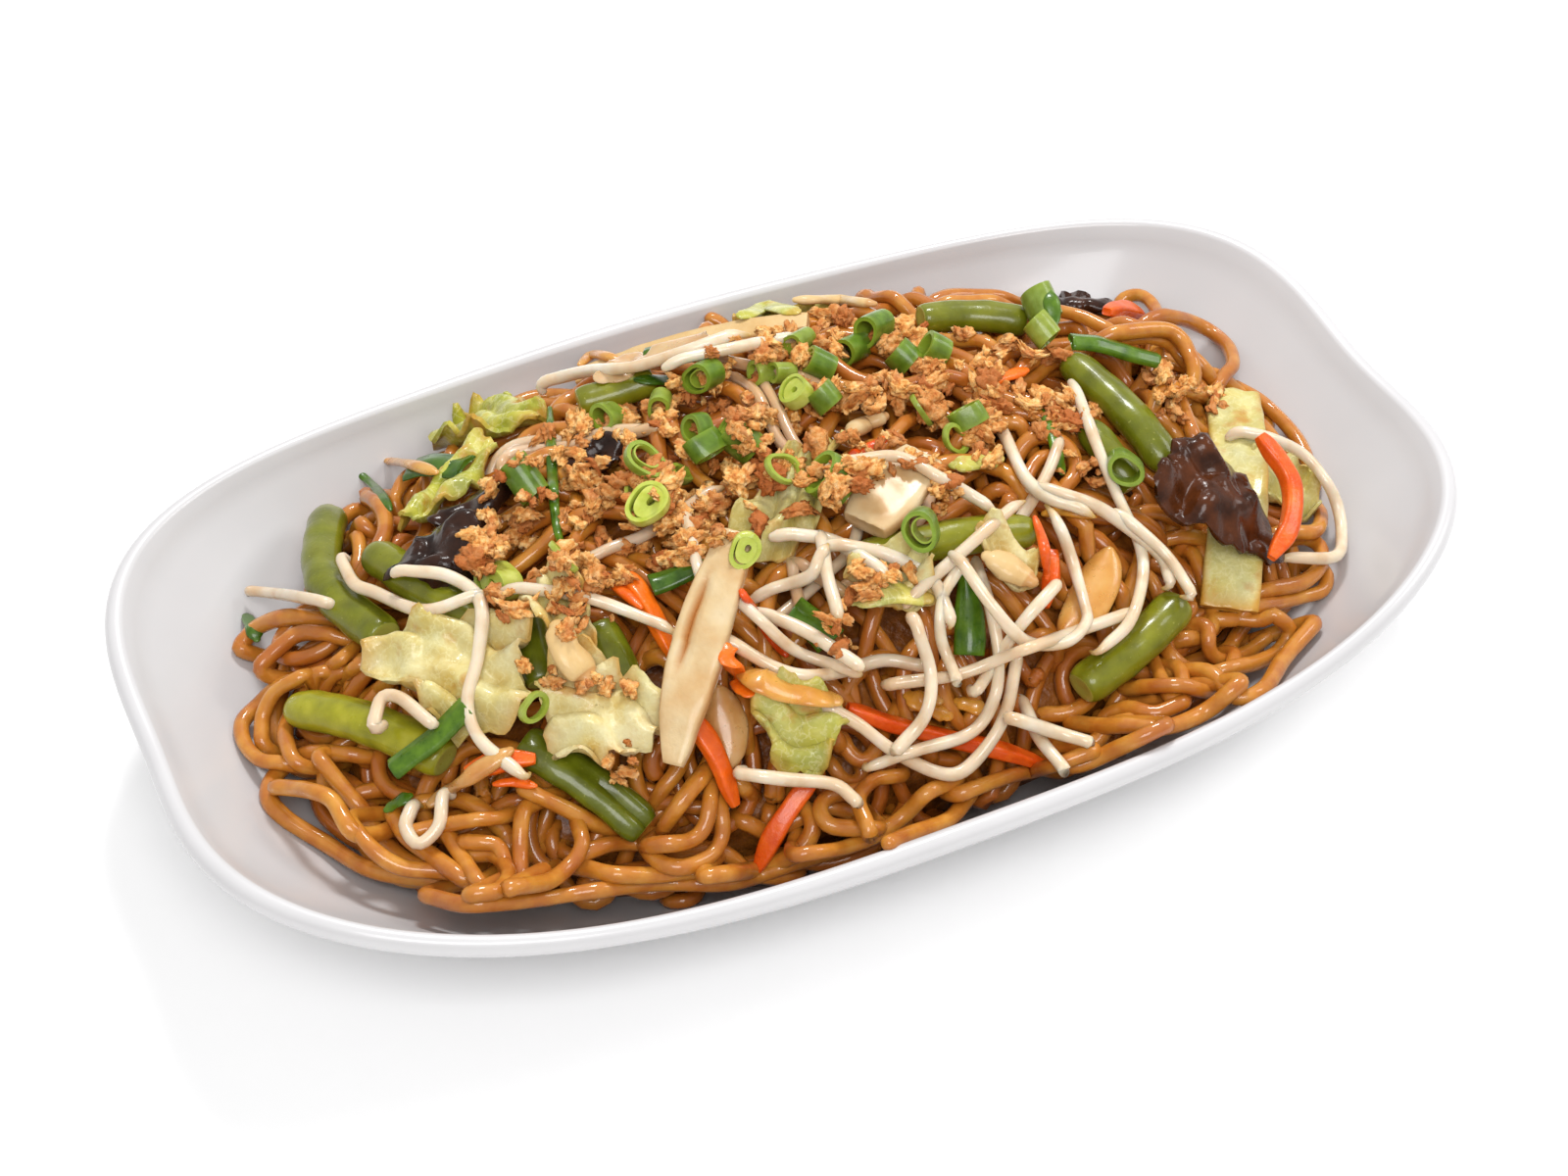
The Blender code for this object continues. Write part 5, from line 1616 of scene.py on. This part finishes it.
def build_crumbs(field, rng):
    """Fried crumbs: lumps and flakes in the band over the crown, small chips round them."""
    fine, coarse = ball(4), ball(3)
    lumps, chips = Pieces(), Pieces()
    outline = np.array(CRUMB_BAND, float)
    spots = rng.uniform(outline.min(0), outline.max(0), (CRUMB_SPOTS, 2))
    spots = spots[inside_outline(spots, outline)]
    clump = np.array([noise.noise((x / 34, y / 26, 4.0)) for x, y in spots])
    spots = spots[clump > CLUMPED]
    for k, pixel in enumerate(spots[:LUMP_COUNT]):
        shape, most = (fine, 3.0) if k % 2 else (coarse, 2.4)
        add_crumb(field, lumps, pixel, rng.uniform(1.4, most) * MM, shape, rng)
    for pixel in spots[LUMP_COUNT:LUMP_COUNT + CHIP_COUNT]:
        add_crumb(field, chips, pixel, rng.uniform(0.8, 1.7) * MM, coarse, rng)
    for centre, count in CRUMB_HEAPS:
        for _ in range(count):
            pixel = np.array(centre) + rng.normal(0, 11, 2)
            add_crumb(field, chips, pixel, rng.uniform(0.6, 1.7) * MM, coarse, rng)
    material = finish("fried_crumbs")
    lumps.build("crumb_lumps", material, "noodle", "noodles")
    chips.build("crumb_chips", material, "noodle", "noodles")


def build_small_rings(field, material, rng):
    pieces = Pieces()
    for pixel, tilt, turn, radius, length, pale in SMALL_RINGS:
        z = field.seen(np.array([pixel]), radius * 0.6 * MM)
        middle = np.append(place_of(pixel, z)[0], min(z[0], CEILING - radius * MM))
        add_ring(pieces, middle, tilt, turn, radius, length, pale, rng)
    return pieces.build("scallion_small_rings", material, "scallion", "noodles", sharp=50)


def build_shreds(field, rng):
    """Thin cut pieces that lie loose among the rest, each a flattened tube along its pixels."""
    made = {kind: Pieces() for kind in SHRED_FINISHES}
    for kind, width, thickness, tone, trace in SHREDS:
        half = thickness / 2 * MM
        fine = smooth_path(trace, STEP / 2 * FOCAL_PIXELS / VIEW_DISTANCE)
        z = np.minimum(eased(field.seen(fine, half), 12), CEILING - half)
        points = np.column_stack((place_of(fine, z), z))
        t = np.linspace(0, 1, len(points))
        taper = 1 - 0.45 * (2 * t - 1) ** 6
        radius = width / 2 * MM * taper * (1 + 0.12 * np.sin(7 * t + rng.uniform(0, 6)))
        add_tube(made[kind], points, radius, SHRED_SIDES, tone, 0.5 * (t > 0.93), thickness / width)
        field.lay(points, half)
    for kind, pieces in made.items():
        pieces.build(f"{kind}_shreds", finish(SHRED_FINISHES[kind]), kind, "noodles")


def build_tangle(toppings, cut):
    rng = np.random.default_rng(SEED)
    field = Field()
    build_bed()
    for obj in toppings:
        field.cover(places_of(obj), as_roof=True)
    field.make_room()
    made = {name: Pieces() for name in ("noodles_under", "noodles_middle", "noodles_over", "bean_sprouts")}
    for name, *rest in NOODLE_FILLS:
        fill(field, made[name], "noodle", *rest, rng)
    lay_traces(field, made["noodles_over"], "noodle", NOODLE_TRACES, 0.35, rng)
    fill(field, made["bean_sprouts"], "sprout", *SPROUT_FILL, rng)
    for obj in toppings:
        field.cover(places_of(obj))
    field.roof[:] = OPEN
    build_shreds(field, rng)
    lay_traces(field, made["bean_sprouts"], "sprout", SPROUT_TRACES, 0.2, rng)
    strands = finish("noodle_strands")
    for name, pieces in made.items():
        material = finish("bean_sprouts") if name == "bean_sprouts" else strands
        pieces.build(name, material, "noodle", "noodles")
    build_small_rings(field, cut, rng)
    build_crumbs(field, rng)


# Light, floor and camera


def build_light(name, place, size, power):
    """A rectangular light that looks at the middle of the dish."""
    data = bpy.data.lights.new(name, "AREA")
    data.shape = "RECTANGLE"
    data.size, data.size_y = size
    data.energy = power
    obj = bpy.data.objects.new(name, data)
    bpy.context.scene.collection.objects.link(obj)
    obj.location = place
    obj.rotation_euler = (Vector(LIT_PLACE) - Vector(place)).to_track_quat("-Z", "Y").to_euler()


def build_stage():
    bpy.ops.mesh.primitive_plane_add(size=FLOOR_SIZE)
    floor = bpy.context.object
    floor.name = "floor"
    floor.data.materials.append(finish("floor"))
    world = bpy.data.worlds.new("studio")
    bpy.context.scene.world = world
    world.use_nodes = True
    background = world.node_tree.nodes["Background"]
    background.inputs["Color"].default_value = (1.0, 1.0, 1.0, 1)
    background.inputs["Strength"].default_value = WORLD_STRENGTH
    for light in LIGHTS:
        build_light(*light)


def build_camera():
    data = bpy.data.cameras.new("camera")
    data.sensor_width = SENSOR_WIDTH
    data.sensor_fit = "HORIZONTAL"
    data.lens = FOCAL_PIXELS / FRAME_WIDTH * SENSOR_WIDTH
    data.clip_start = 0.01
    camera = bpy.data.objects.new("camera", data)
    bpy.context.scene.collection.objects.link(camera)
    spin = Matrix((RIGHT, UP, -AHEAD)).transposed()
    camera.matrix_world = Matrix.Translation(EYE) @ spin.to_4x4()
    bpy.context.scene.camera = camera
    bpy.context.scene.view_settings.view_transform = "Standard"


build_camera()
build_stage()
build_platter()
toppings, cut_scallion = build_toppings()
build_tangle(toppings, cut_scallion)
